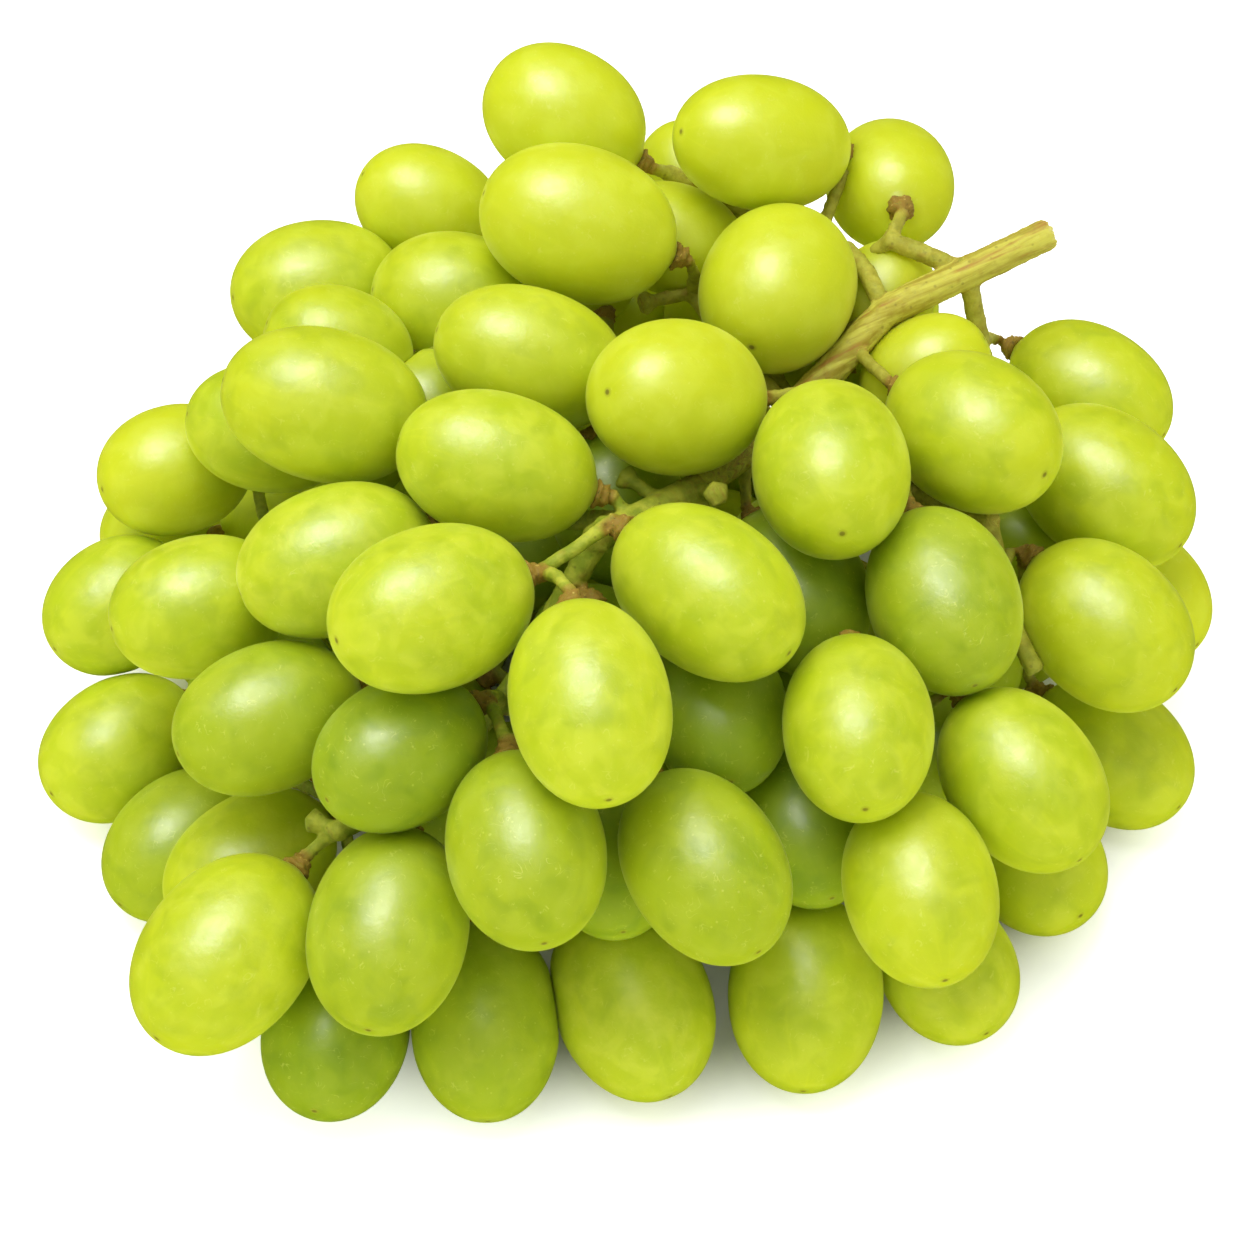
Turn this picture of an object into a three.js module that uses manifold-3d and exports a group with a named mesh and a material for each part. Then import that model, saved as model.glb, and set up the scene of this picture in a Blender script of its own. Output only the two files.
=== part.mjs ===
// A bunch of green seedless table grapes, picked and lying on a flat surface.
// Millimetres, +Z up. The bunch rests on its lowest berries at z = 0, and the cut end of its
// stem points up, back and to the right (+X, +Y, +Z).
//
// Every berry hangs on a branched stem. The berries that face the front are placed from a survey:
// a station in front of the bunch looks down on it, and a square chart in front of the station says
// where each berry lies across and down. How far each one is from the station follows from the
// dome that the bunch fills and from its neighbours, which it may touch but not pass through.

import * as THREE from "three";
import * as BufferGeometryUtils from "three/addons/utils/BufferGeometryUtils.js";
import Module from "manifold-3d";

const wasm = await Module();
wasm.setup();

// ---------------------------------------------------------------- driving dimensions

const BERRY_WIDTH = 20;
const BERRY_LENGTH = 26.5;
const PEDUNCLE_WIDTH = 4.6;
const LATERAL_WIDTH = 2.8;
const PEDICEL_WIDTH = 1.9;
const RECEPTACLE_WIDTH = 4.0;
const TOUCH_GAP = 0.3;
const FLOOR_PRESS = 0.45;

// The dome on which the outer berries' centres lie: the top half of a rounded box.
const DOME_HALF_WIDTH = 72;
const DOME_HALF_DEPTH = 59;
const DOME_HEIGHT = 62;
const DOME_CENTRE_Y = 10;
const DOME_SQUARENESS = 2.5;

// The survey station: it looks down on a point above the middle of the surface, and its chart
// spans CHART_SPAN millimetres there.
const STATION_DISTANCE = 500;
const STATION_ELEVATION = THREE.MathUtils.degToRad(50);
const AIM = new THREE.Vector3(0, 0, 35);
const CHART_SPAN = 175;
const CHART_WIDTH = 1254;

const BERRY_SIDES = 11;
const HEART_BERRY_SIDES = 8;
const BERRY_RINGS = 6;
const MAIN_AXIS_SIDES = 8;
const LATERAL_SIDES = 6;
const PEDICEL_SIDES = 5;
const HIDDEN_PEDICEL_SIDES = 4;
const STEM_STEP = 6.6;
const SETTLE_ROUNDS = 260;
const ROUTE_ROUNDS = 60;
const PAIR_PRESS = 1.6;

// ---------------------------------------------------------------- the survey station

const sightAlong = new THREE.Vector3(0, Math.cos(STATION_ELEVATION), -Math.sin(STATION_ELEVATION));
const sightRight = new THREE.Vector3(1, 0, 0);
const sightUp = new THREE.Vector3().crossVectors(sightRight, sightAlong);
const station = AIM.clone().addScaledVector(sightAlong, -STATION_DISTANCE);
const chartUnit = CHART_SPAN / CHART_WIDTH / STATION_DISTANCE;

/** The sight line through a place on the chart: one unit along it is one millimetre of distance. */
function sightLine(across, down) {
  return sightAlong
    .clone()
    .addScaledVector(sightRight, (across - CHART_WIDTH / 2) * chartUnit)
    .addScaledVector(sightUp, (CHART_WIDTH / 2 - down) * chartUnit)
    .normalize();
}

/** The point that the station sees at a place on the chart, at a given height. */
function seenAtHeight(across, down, height) {
  const line = sightLine(across, down);
  return station.clone().addScaledVector(line, (height - station.z) / line.z);
}

/** How far a point is inside (below 1) or outside (above 1) the dome. */
function domeLevel(point) {
  const p = DOME_SQUARENESS;
  const x = Math.abs(point.x / DOME_HALF_WIDTH) ** p;
  const y = Math.abs((point.y - DOME_CENTRE_Y) / DOME_HALF_DEPTH) ** p;
  const z = Math.abs(point.z / DOME_HEIGHT) ** p;
  return x + y + z;
}

/** Where a sight line first meets the dome, or passes nearest to it. */
function distanceToDome(line) {
  const step = 0.5;
  let best = STATION_DISTANCE;
  let bestLevel = Infinity;
  for (let distance = 330; distance < 640; distance += step) {
    const level = domeLevel(station.clone().addScaledVector(line, distance));
    if (level <= 1) return distance;
    if (level < bestLevel) {
      bestLevel = level;
      best = distance;
    }
  }
  return best;
}

// ---------------------------------------------------------------- the berries that face the front

// Each row: name, across and down on the chart, how many millimetres nearer to the station than
// the dome, the clock angle of the berry's tip on the chart (degrees, anticlockwise from the
// right), the angle between the tip and the line to the station, the berry's width and length as
// shares of BERRY_WIDTH and BERRY_LENGTH, and whether it rests on the surface.
const RESTS = true;
const SURVEYED_BERRIES = [
  ["berry_crown_left", 564, 118, 0, 150, 85, 1.02, 0.93, false],
  ["berry_crown_middle", 762, 143, 0, 172, 58, 0.97, 1.05, false],
  ["berry_crown_right", 890, 185, -6, 115, 164, 0.95, 0.98, false],
  ["berry_upper_left_1", 430, 210, 0, 152, 75, 0.92, 0.89, false],
  ["berry_upper_left_2", 318, 290, 0, 185, 75, 1.02, 0.98, false],
  ["berry_top_1", 578, 224, 5, 162, 80, 1.1, 1.08, false],
  ["berry_top_2", 778, 288, 6, 246, 43, 1.11, 1.0, false],
  ["berry_upper_left_3", 455, 301, 2, 172, 80, 1.0, 0.92, false],
  ["berry_upper_left_4", 530, 358, 2, 163, 80, 0.97, 1.03, false],
  ["berry_top_3", 677, 397, 7, 176, 43, 1.06, 1.04, false],
  ["berry_left_1", 325, 405, 5, 166, 85, 1.05, 1.08, false],
  ["berry_left_2", 175, 470, 4, 195, 70, 0.95, 0.88, false],
  ["berry_left_3", 268, 428, -8, 170, 80, 0.92, 0.9, false],
  ["berry_top_4", 496, 466, 6, 165, 82, 0.99, 1.03, false],
  ["berry_top_5", 831, 469, 7, 280, 39, 1.06, 1.04, false],
  ["berry_right_1", 973, 432, 8, 329, 57, 1.06, 1.02, false],
  ["berry_right_2", 1090, 392, 0, 330, 75, 0.97, 0.98, false],
  ["berry_right_3", 1105, 487, 4, 322, 75, 1.06, 1.06, false],
  ["berry_right_4", 1105, 625, 8, 317, 75, 1.06, 1.03, false],
  ["berry_right_5", 1134, 592, -6, 320, 75, 0.96, 0.94, false],
  ["berry_right_6", 944, 601, 0, 290, 62, 1.02, 1.03, false],
  ["berry_left_4", 335, 560, 2, 200, 85, 1.0, 1.02, false],
  ["berry_front_1", 431, 608, 7, 199, 65, 1.06, 1.06, false],
  ["berry_front_2", 708, 592, 6, 323, 68, 1.02, 1.08, false],
  ["berry_front_3", 590, 703, 5, 281, 62, 1.03, 1.06, false],
  ["berry_right_7", 858, 727, 2, 275, 52, 0.99, 1.02, false],
  ["berry_right_8", 1023, 780, 6, 305, 75, 1.02, 1.02, false],
  ["berry_left_5", 118, 605, -2, 215, 75, 0.95, 0.87, false],
  ["berry_left_6", 200, 607, 2, 194, 80, 0.97, 0.95, false],
  ["berry_left_7", 120, 748, 0, 214, 70, 1.0, 0.95, false],
  ["berry_left_8", 267, 718, 2, 202, 78, 0.99, 0.99, false],
  ["berry_left_9", 400, 753, 0, 213, 65, 0.97, 0.94, false],
  ["berry_left_10", 180, 845, 0, 225, 75, 0.95, 0.93, false],
  ["berry_left_11", 250, 865, -10, 215, 80, 0.95, 0.98, false],
  ["berry_front_4", 226, 954, 20, 231, 75, 1.1, 1.12, false],
  ["berry_front_5", 388, 930, 4, 259, 68, 1.05, 1.08, false],
  ["berry_front_6", 526, 850, 4, 281, 64, 1.03, 1.02, false],
  ["berry_front_7", 705, 866, 4, 302, 70, 1.02, 1.05, false],
  ["berry_front_8", 920, 889, 4, 285, 65, 1.01, 1.02, false],
  ["berry_floor_1", 1112, 752, 0, 320, 75, 1.0, 0.97, RESTS],
  ["berry_floor_2", 1035, 862, 0, 310, 60, 0.95, 0.86, RESTS],
  ["berry_floor_3", 948, 968, 0, 300, 70, 0.94, 0.84, RESTS],
  ["berry_floor_4", 806, 993, 0, 268, 75, 1.06, 1.04, RESTS],
  ["berry_floor_5", 632, 1001, 0, 292, 80, 1.08, 1.07, RESTS],
  ["berry_floor_6", 485, 1022, 0, 272, 80, 1.02, 1.03, RESTS],
  ["berry_floor_7", 336, 1033, 0, 255, 60, 1.0, 0.95, RESTS],
];

// The berries of the second layer, which show in the gaps between the outer ones. Each row: across
// and down on the chart, how many millimetres behind the dome, the clock angle of the tip, its
// lean, and the width and length shares.
const SECOND_LAYER = [
  [718, 712, 14, 280, 50, 0.94, 0.94],
  [805, 825, 13, 290, 60, 0.94, 0.92],
  [795, 590, 13, 300, 60, 1.0, 0.96],
  [612, 860, 15, 280, 60, 0.9, 0.88],
  [925, 735, 14, 290, 60, 0.9, 0.88],
  [674, 240, 12, 160, 80, 0.82, 0.82],
  [690, 190, 8, 100, 80, 0.84, 0.8],
  [870, 305, 10, 60, 80, 0.78, 0.74],
  [925, 372, 10, 30, 80, 0.78, 0.74],
  [800, 335, 14, 60, 70, 0.86, 0.82],
  [340, 365, 12, 160, 80, 0.86, 0.82],
  [430, 400, 14, 170, 80, 0.86, 0.82],
  [925, 500, 14, 320, 70, 0.88, 0.84],
  [1030, 550, 17, 330, 75, 0.72, 0.7],
  [930, 790, 14, 290, 70, 0.78, 0.76],
];
const HEART = "berries_heart";

/** The height of a berry's centre above its lowest point. */
function restHeight(axis, wide, long) {
  const b = wide / 2;
  const a = long / 2;
  return Math.sqrt(b * b + (a * a - b * b) * axis.z * axis.z);
}

/** The tip's direction from its clock angle on the chart and its lean away from the sight line. */
function tipDirection(line, clock, lean) {
  const turn = THREE.MathUtils.degToRad(clock);
  const tilt = THREE.MathUtils.degToRad(lean);
  const right = sightRight.clone().addScaledVector(line, -line.dot(sightRight)).normalize();
  const up = new THREE.Vector3().crossVectors(right, line);
  return line
    .clone()
    .multiplyScalar(-Math.cos(tilt))
    .addScaledVector(right, Math.sin(tilt) * Math.cos(turn))
    .addScaledVector(up, Math.sin(tilt) * Math.sin(turn));
}

function surveyedBerry([name, across, down, nearer, clock, lean, widthShare, lengthShare, rests]) {
  const line = sightLine(across, down);
  const axis = tipDirection(line, clock, lean);
  const wide = BERRY_WIDTH * widthShare;
  const long = BERRY_LENGTH * lengthShare;
  const floorDistance = (restHeight(axis, wide, long) - FLOOR_PRESS - station.z) / line.z;
  const distance = rests ? floorDistance : distanceToDome(line) - nearer;
  const centre = station.clone().addScaledVector(line, distance);
  return { name, axis, wide, long, centre, line, rests };
}

function secondLayerBerry([across, down, behind, ...shape]) {
  return { ...surveyedBerry([HEART, across, down, -behind, ...shape, false]), ofHeart: true };
}

// ---------------------------------------------------------------- the berries of the far side

// Rings of berries that the station can't see. Each ring is part of an ellipse around the middle
// of the bunch, from its first to its last angle (0 = +X, 90 = +Y), at one height. Neighbours in
// a ring grow pressed together, two by two.
const FAR_RINGS = [
  {
    name: "back_floor",
    count: 8,
    height: 9,
    halfWidth: 60,
    halfDepth: 50,
    firstAngle: 14,
    lastAngle: 168,
    tipRise: -0.2,
  },
  {
    name: "back_middle",
    count: 8,
    height: 33,
    halfWidth: 56,
    halfDepth: 58,
    firstAngle: 46,
    lastAngle: 142,
    tipRise: 0.05,
  },
  {
    name: "underside",
    count: 8,
    height: 8.5,
    halfWidth: 36,
    halfDepth: 26,
    firstAngle: 20,
    lastAngle: 335,
    tipRise: -0.5,
  },
];

/** A number between -1 and 1 that differs from seed to seed and is the same every time. */
function wobble(seed) {
  const wave = Math.sin(seed * 12.9898) * 43758.5453;
  return 2 * (wave - Math.floor(wave)) - 1;
}

function ringBerries(ring, ringIndex) {
  const berries = [];
  for (let i = 0; i < ring.count; i += 1) {
    const seed = 31 * ringIndex + i + 1;
    const sweep = ((ring.lastAngle - ring.firstAngle) * i) / (ring.count - 1);
    const angle = THREE.MathUtils.degToRad(ring.firstAngle + sweep);
    const outward = new THREE.Vector3(Math.cos(angle), Math.sin(angle), 0);
    const centre = new THREE.Vector3(
      outward.x * ring.halfWidth,
      DOME_CENTRE_Y + outward.y * ring.halfDepth,
      ring.height + 1.5 * wobble(seed),
    );
    const axis = outward
      .clone()
      .add(new THREE.Vector3(0.35 * wobble(seed + 7), 0.35 * wobble(seed + 11), 0))
      .setZ(ring.tipRise + 0.2 * wobble(seed + 17))
      .normalize();
    const wide = BERRY_WIDTH * (1 + 0.04 * wobble(seed + 23));
    const long = BERRY_LENGTH * (0.97 + 0.05 * wobble(seed + 29));
    const name = `berries_${ring.name}`;
    const pair = `${ring.name}_${Math.floor(i / 2)}`;
    berries.push({ name, pair, axis, wide, long, centre, home: centre.clone(), rests: false });
  }
  return berries;
}

// ---------------------------------------------------------------- settling the berries

/** How far a berry reaches from its centre along a direction. */
function reach(berry, direction) {
  const b = berry.wide / 2;
  const a = berry.long / 2;
  return Math.sqrt(b * b + (a * a - b * b) * direction.dot(berry.axis) ** 2);
}

/** Round balls along a berry's axis that fill it: their offsets and radii. */
function fillingBalls(berry) {
  const b = berry.wide / 2;
  const a = berry.long / 2;
  const room = a * a - b * b;
  return [-1, -0.5, 0, 0.5, 1].map((share) => {
    const offset = (share * room) / a;
    return { offset, radius: b * Math.sqrt(1 - (offset * offset) / room) };
  });
}

/** The direction from one berry to the other in which they are furthest apart, and that gap. */
function gapBetween(first, second) {
  const between = new THREE.Vector3();
  const from = new THREE.Vector3();
  let nearest = Infinity;
  let direction = null;
  for (const ballA of first.balls) {
    from.copy(first.centre).addScaledVector(first.axis, ballA.offset);
    for (const ballB of second.balls) {
      between.copy(second.centre).addScaledVector(second.axis, ballB.offset).sub(from);
      const gap = between.length() - ballA.radius - ballB.radius;
      if (gap < nearest) {
        nearest = gap;
        direction = between.clone().normalize();
      }
    }
  }
  const apart = direction.dot(second.centre) - direction.dot(first.centre);
  const gap = apart - reach(first, direction) - reach(second, direction);
  return { direction, gap };
}

/** How readily a berry gives way to another along a direction: outer berries mostly along their
 * sight line, and hardly at all to a berry of the second layer. */
function giveAlong(berry, other, direction) {
  if (berry.rests) return new THREE.Vector3();
  if (isOfHeart(berry)) return direction.clone();
  const share = isOfHeart(other) ? 0.12 : 1;
  if (!berry.line) return direction.clone().multiplyScalar(share);
  const alongSight = share * direction.dot(berry.line);
  return berry.line.clone().multiplyScalar(alongSight * 0.97).addScaledVector(direction, 0.03 * share);
}

function pushApart(first, second, gapWanted) {
  const { direction, gap } = gapBetween(first, second);
  const missing = gapWanted - gap;
  if (missing <= 0 && !areMates(first, second)) return;
  const giveFirst = giveAlong(first, second, direction);
  const giveSecond = giveAlong(second, first, direction);
  const yielding = giveFirst.dot(direction) + giveSecond.dot(direction);
  const share = (0.7 * missing) / (yielding + 0.12);
  first.centre.addScaledVector(giveFirst, -share);
  second.centre.addScaledVector(giveSecond, share);
}

/** Whether a berry grew in the second layer or deeper inside. */
function isOfHeart(berry) {
  return berry.ofHeart === true;
}

/** Whether two berries of a ring grow pressed together. */
function areMates(first, second) {
  return first.pair !== undefined && first.pair === second.pair;
}

/** The height of a berry's lowest point, before the surface flattens it. */
function lowestPoint(berry) {
  return berry.centre.z - restHeight(berry.axis, berry.wide, berry.long);
}

/** Keeps a berry near where it was surveyed or set out, and above the surface. */
function holdInPlace(berry, pull) {
  if (berry.line && !berry.rests) {
    const distance = berry.centre.clone().sub(station).dot(berry.line);
    const onLine = station.clone().addScaledVector(berry.line, distance);
    berry.centre.lerp(onLine, 0.5);
    berry.centre.addScaledVector(berry.line, (berry.homeDistance - distance) * pull);
  }
  if (berry.home) berry.centre.lerp(berry.home, pull);
  const tooLow = -FLOOR_PRESS - lowestPoint(berry);
  if (tooLow > 0 && !berry.rests) {
    if (berry.line) berry.centre.addScaledVector(berry.line, tooLow / berry.line.z);
    else berry.centre.z += tooLow;
  }
}

/** Lets the berries find their depth: none may pass through another one or the surface. */
function settle(berries) {
  const nearEnough = 1.25 * BERRY_LENGTH;
  for (let round = 0; round < SETTLE_ROUNDS; round += 1) {
    const pull = 0.03 * (1 - round / SETTLE_ROUNDS);
    for (let i = 0; i < berries.length; i += 1) {
      for (let j = i + 1; j < berries.length; j += 1) {
        if (berries[i].centre.distanceTo(berries[j].centre) > nearEnough) continue;
        pushApart(berries[i], berries[j], areMates(berries[i], berries[j]) ? -PAIR_PRESS : TOUCH_GAP);
      }
    }
    for (const berry of berries) holdInPlace(berry, pull);
  }
}

const seenBerries = SURVEYED_BERRIES.map(surveyedBerry);
const secondBerries = SECOND_LAYER.map(secondLayerBerry);
const farBerries = FAR_RINGS.flatMap(ringBerries);
const berries = [...seenBerries, ...farBerries, ...secondBerries];
for (const berry of berries) {
  berry.balls = fillingBalls(berry);
  if (berry.line) berry.homeDistance = berry.centre.distanceTo(station);
}
settle(berries);

// ---------------------------------------------------------------- solids

/** A closed three.js geometry as a solid that can be joined and cut. */
function solid(geometry) {
  const bare = geometry.index ? geometry.toNonIndexed() : geometry.clone();
  bare.deleteAttribute("normal");
  bare.deleteAttribute("uv");
  const merged = BufferGeometryUtils.mergeVertices(bare, 1e-4);
  return new wasm.Manifold(
    new wasm.Mesh({
      numProp: 3,
      vertProperties: new Float32Array(merged.attributes.position.array),
      triVerts: new Uint32Array(merged.index.array),
    }),
  );
}

function geometryOf(manifold) {
  const mesh = manifold.getMesh();
  const geometry = new THREE.BufferGeometry();
  geometry.setAttribute("position", new THREE.BufferAttribute(new Float32Array(mesh.vertProperties), 3));
  geometry.setIndex(new THREE.BufferAttribute(new Uint32Array(mesh.triVerts), 1));
  return geometry;
}

/** How many sides a berry has around. */
function sidesOf(berry) {
  return isOfHeart(berry) ? HEART_BERRY_SIDES : BERRY_SIDES;
}

/** The place of something turned about its own Y axis, with its front line facing the surface. */
function placement(centre, axis) {
  const down = new THREE.Vector3(0, 0, -1);
  const facing = down.addScaledVector(axis, -down.dot(axis));
  if (facing.length() < 0.1) facing.set(1, 0, 0).addScaledVector(axis, -axis.x);
  facing.normalize();
  const side = new THREE.Vector3().crossVectors(axis, facing);
  return new THREE.Matrix4().makeBasis(side, axis, facing).setPosition(centre);
}

function berryShape(wide, long, sides) {
  const profile = [];
  for (let ring = 0; ring <= BERRY_RINGS; ring += 1) {
    const turn = -Math.PI / 2 + (Math.PI * ring) / BERRY_RINGS;
    const onAxis = ring === 0 || ring === BERRY_RINGS;
    const radius = onAxis ? 0 : (wide / 2) * Math.cos(turn);
    profile.push(new THREE.Vector2(radius, (long / 2) * Math.sin(turn)));
  }
  return new THREE.LatheGeometry(profile, sides);
}

/** A block that covers everything beyond a flat through a point, on the side its normal faces. */
function beyondFlat(point, normal) {
  const size = 3 * BERRY_LENGTH;
  const block = new THREE.BoxGeometry(size, size, size);
  const centre = point.clone().addScaledVector(normal, size / 2);
  block.applyMatrix4(placement(centre, normal));
  return solid(block);
}

/** A berry's solid, flattened where it presses on its neighbours and on the surface. */
function berrySolid(berry) {
  const whole = berryShape(berry.wide, berry.long, sidesOf(berry));
  whole.applyMatrix4(placement(berry.centre, berry.axis));
  let body = solid(whole);
  for (const other of berries) {
    if (other === berry || areMates(berry, other)) continue;
    if (other.centre.distanceTo(berry.centre) > 1.25 * BERRY_LENGTH) continue;
    const { direction, gap } = gapBetween(berry, other);
    if (gap > TOUCH_GAP) continue;
    const reachHere = reach(berry, direction) + (gap - TOUCH_GAP) / 2;
    body = body.subtract(beyondFlat(berry.centre.clone().addScaledVector(direction, reachHere), direction));
  }
  if (lowestPoint(berry) < 0) {
    const underBerry = new THREE.Vector3(berry.centre.x, berry.centre.y, 0);
    body = body.subtract(beyondFlat(underBerry, new THREE.Vector3(0, 0, -1)));
  }
  return body;
}

// ---------------------------------------------------------------- the stem

/** The point seen at a place on the chart, this far behind the dome of berry centres. */
function seenUnderDome(across, down, below) {
  const line = sightLine(across, down);
  return station.clone().addScaledVector(line, distanceToDome(line) + below);
}

// The main axis runs from the cut end, over the top of the bunch and down inside its front.
const cutEnd = seenAtHeight(1050, 233, 61);
const mainNode = seenAtHeight(962, 273, 57);
const shoulder = seenAtHeight(866, 328, 54);
const underTop = seenAtHeight(790, 412, 49);
const openNode = seenUnderDome(707, 479, 6);
const openBend = seenUnderDome(635, 503, 3);
const fork = seenUnderDome(598, 538, 2);
const forkEnd = seenUnderDome(577, 562, 5);
const frontBend = seenUnderDome(530, 660, 16);
const frontNode = seenUnderDome(440, 800, 16);
const lowFork = seenUnderDome(340, 830, 2);

const MAIN_AXIS = [
  { wide: PEDUNCLE_WIDTH, points: [cutEnd, mainNode, shoulder, underTop] },
  { wide: 0.85 * PEDUNCLE_WIDTH, points: [underTop, openNode, openBend, fork] },
  { wide: 0.75 * PEDUNCLE_WIDTH, points: [fork, forkEnd, frontBend] },
  { wide: LATERAL_WIDTH, points: [frontBend, frontNode, lowFork] },
];

// The side branches, each from where it leaves the main axis or another branch.
const crownRoot = seenAtHeight(732, 220, 50);
const crownNode = seenAtHeight(667, 173, 58);
const topNode = seenAtHeight(693, 292, 50);
const twigNode = seenAtHeight(904, 252, 57);
const rightNode = seenUnderDome(988, 521, 4);
const rightBend = seenUnderDome(1012, 600, 12);
const leftNode = seenUnderDome(330, 500, 14);
const lowRight = seenUnderDome(800, 740, 20);
const backNode = new THREE.Vector3(10, 46, 34);
const SIDE_BRANCHES = [
  { leads: "to the crown", points: [shoulder, seenAtHeight(790, 262, 48), crownRoot, crownNode] },
  { leads: "to the top", points: [underTop, seenAtHeight(740, 330, 48), topNode] },
  { leads: "to a twig on the left", points: [mainNode, twigNode, seenAtHeight(866, 262, 55)] },
  { leads: "to a twig on the right", points: [mainNode, seenAtHeight(981, 344, 48)] },
  { leads: "to the back", points: [shoulder, new THREE.Vector3(24, 44, 42), backNode] },
  { leads: "to the far left", points: [backNode, new THREE.Vector3(-28, 34, 36)] },
  { leads: "to the right", points: [underTop, seenUnderDome(905, 485, 13), rightNode] },
  { leads: "to the low right", points: [rightNode, rightBend, seenUnderDome(1036, 672, 9)] },
  { leads: "to the left", points: [openBend, seenUnderDome(450, 520, 16), leftNode] },
  { leads: "to the lower left", points: [leftNode, seenUnderDome(215, 640, 14)] },
  { leads: "to the front", points: [openNode, seenUnderDome(760, 620, 18), lowRight] },
  { leads: "to the low front", points: [lowRight, seenUnderDome(760, 880, 16)] },
  { leads: "to the underside", points: [openNode, new THREE.Vector3(4, -4, 24)] },
];

// Pedicels whose berries have dropped off: where each leaves its branch and where it ends.
const BARE_PEDICELS = [
  { root: seenUnderDome(655, 482, 6), end: seenUnderDome(623, 475, 6) },
  { root: openNode, end: seenUnderDome(718, 494, 2) },
  { root: crownRoot, end: seenAtHeight(703, 180, 56) },
  { root: topNode, end: seenAtHeight(641, 304, 51) },
  { root: lowFork, end: seenUnderDome(311, 820, 3) },
];

const STRAND_SPACING = 2;

/** Balls that fill a branch: berries of the heart keep clear of them. */
function strandAlong(path, wide) {
  const count = Math.max(2, Math.ceil(path.getLength() / STRAND_SPACING));
  return path.getSpacedPoints(count).map((centre) => ({ centre, radius: wide / 2 }));
}

/** A rod along points, closed at both ends, the centres of its sections and its strand. */
function rod(points, wide, sides) {
  const path = new THREE.CatmullRomCurve3(points, false, "centripetal");
  const section = new THREE.Shape();
  for (let side = 0; side < sides; side += 1) {
    const turn = (2 * Math.PI * side) / sides;
    const place = [(wide / 2) * Math.cos(turn), (wide / 2) * Math.sin(turn)];
    if (side === 0) section.moveTo(...place);
    else section.lineTo(...place);
  }
  const steps = Math.max(2, Math.round(path.getLength() / STEM_STEP));
  const shape = new THREE.ExtrudeGeometry(section, { extrudePath: path, steps, curveSegments: 1 });
  return { body: solid(shape), centres: path.getSpacedPoints(steps), strand: strandAlong(path, wide) };
}

/** A swelling where branches meet. */
function knuckle(centre, wide) {
  return solid(new THREE.IcosahedronGeometry(wide / 2, 0).translate(centre.x, centre.y, centre.z));
}

/** A pedicel along its route, flared at its end into the receptacle on which a berry sits. */
function pedicelRod(route, sides) {
  const path = new THREE.CatmullRomCurve3(route, false, "centripetal");
  const length = path.getLength();
  const flare = 0.55 * RECEPTACLE_WIDTH;
  const thin = PEDICEL_WIDTH / 2;
  const rim = RECEPTACLE_WIDTH / 2;
  const neck = length - flare;
  const stretches = Math.ceil(neck / STEM_STEP);
  const outline = [new THREE.Vector2(0, 0), new THREE.Vector2(1.2 * thin, 0)];
  const centres = [];
  for (let step = 1; step <= stretches; step += 1) {
    const along = (neck * step) / stretches;
    outline.push(new THREE.Vector2(thin, along));
    centres.push(path.getPointAt(along / length));
  }
  outline.push(new THREE.Vector2(rim, length - 0.2 * flare));
  outline.push(new THREE.Vector2(0.8 * rim, length));
  outline.push(new THREE.Vector2(0, length));
  const bent = new THREE.LatheGeometry(outline, sides);
  const frameCount = 24;
  const frames = path.computeFrenetFrames(frameCount, false);
  const place = bent.attributes.position;
  for (let i = 0; i < place.count; i += 1) {
    const share = THREE.MathUtils.clamp(place.getY(i) / length, 0, 1);
    const frame = Math.round(share * frameCount);
    const point = path
      .getPointAt(share)
      .addScaledVector(frames.binormals[frame], place.getX(i))
      .addScaledVector(frames.normals[frame], place.getZ(i));
    place.setXYZ(i, point.x, point.y, point.z);
  }
  return { body: solid(bent), centres, strand: strandAlong(path, PEDICEL_WIDTH) };
}

/** How far a point on a branch is pushed out of the berries around it. */
function pushOutOfBerries(point, room) {
  const push = new THREE.Vector3();
  const ball = new THREE.Vector3();
  for (const berry of berries) {
    if (berry.centre.distanceTo(point) > BERRY_LENGTH) continue;
    for (const { offset, radius } of berry.balls) {
      ball.copy(berry.centre).addScaledVector(berry.axis, offset);
      const away = point.clone().sub(ball);
      const missing = radius + room - away.length();
      if (missing > 0) push.addScaledVector(away.normalize(), missing);
    }
  }
  return push;
}

/** The nearest place to a point where a pedicel has room between the berries. */
function freeOfBerries(point) {
  const free = point.clone();
  for (let round = 0; round < ROUTE_ROUNDS; round += 1) {
    free.addScaledVector(pushOutOfBerries(free, PEDICEL_WIDTH / 2 + TOUCH_GAP), 0.4);
  }
  return free;
}

/** A branch's route between the points it must pass, led around the berries. */
function routed(points, wide) {
  const spacing = 3.5;
  const path = new THREE.CatmullRomCurve3(points, false, "centripetal");
  const count = Math.max(2, Math.round(path.getLength() / spacing));
  const route = path.getSpacedPoints(count);
  for (let round = 0; round < ROUTE_ROUNDS; round += 1) {
    for (let i = 1; i < count; i += 1) {
      const between = route[i - 1].clone().add(route[i + 1]).multiplyScalar(0.5);
      route[i].lerp(between, 0.25);
      route[i].addScaledVector(pushOutOfBerries(route[i], wide / 2 + TOUCH_GAP), 0.5);
    }
  }
  return route;
}

const stemParts = [];
const joints = [];
const strands = [];

/** Adds a rod to the stem, with the places on it where others may branch off. */
function lay({ body, centres, strand }) {
  stemParts.push(body);
  joints.push(...centres);
  strands.push(...strand);
}

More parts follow.
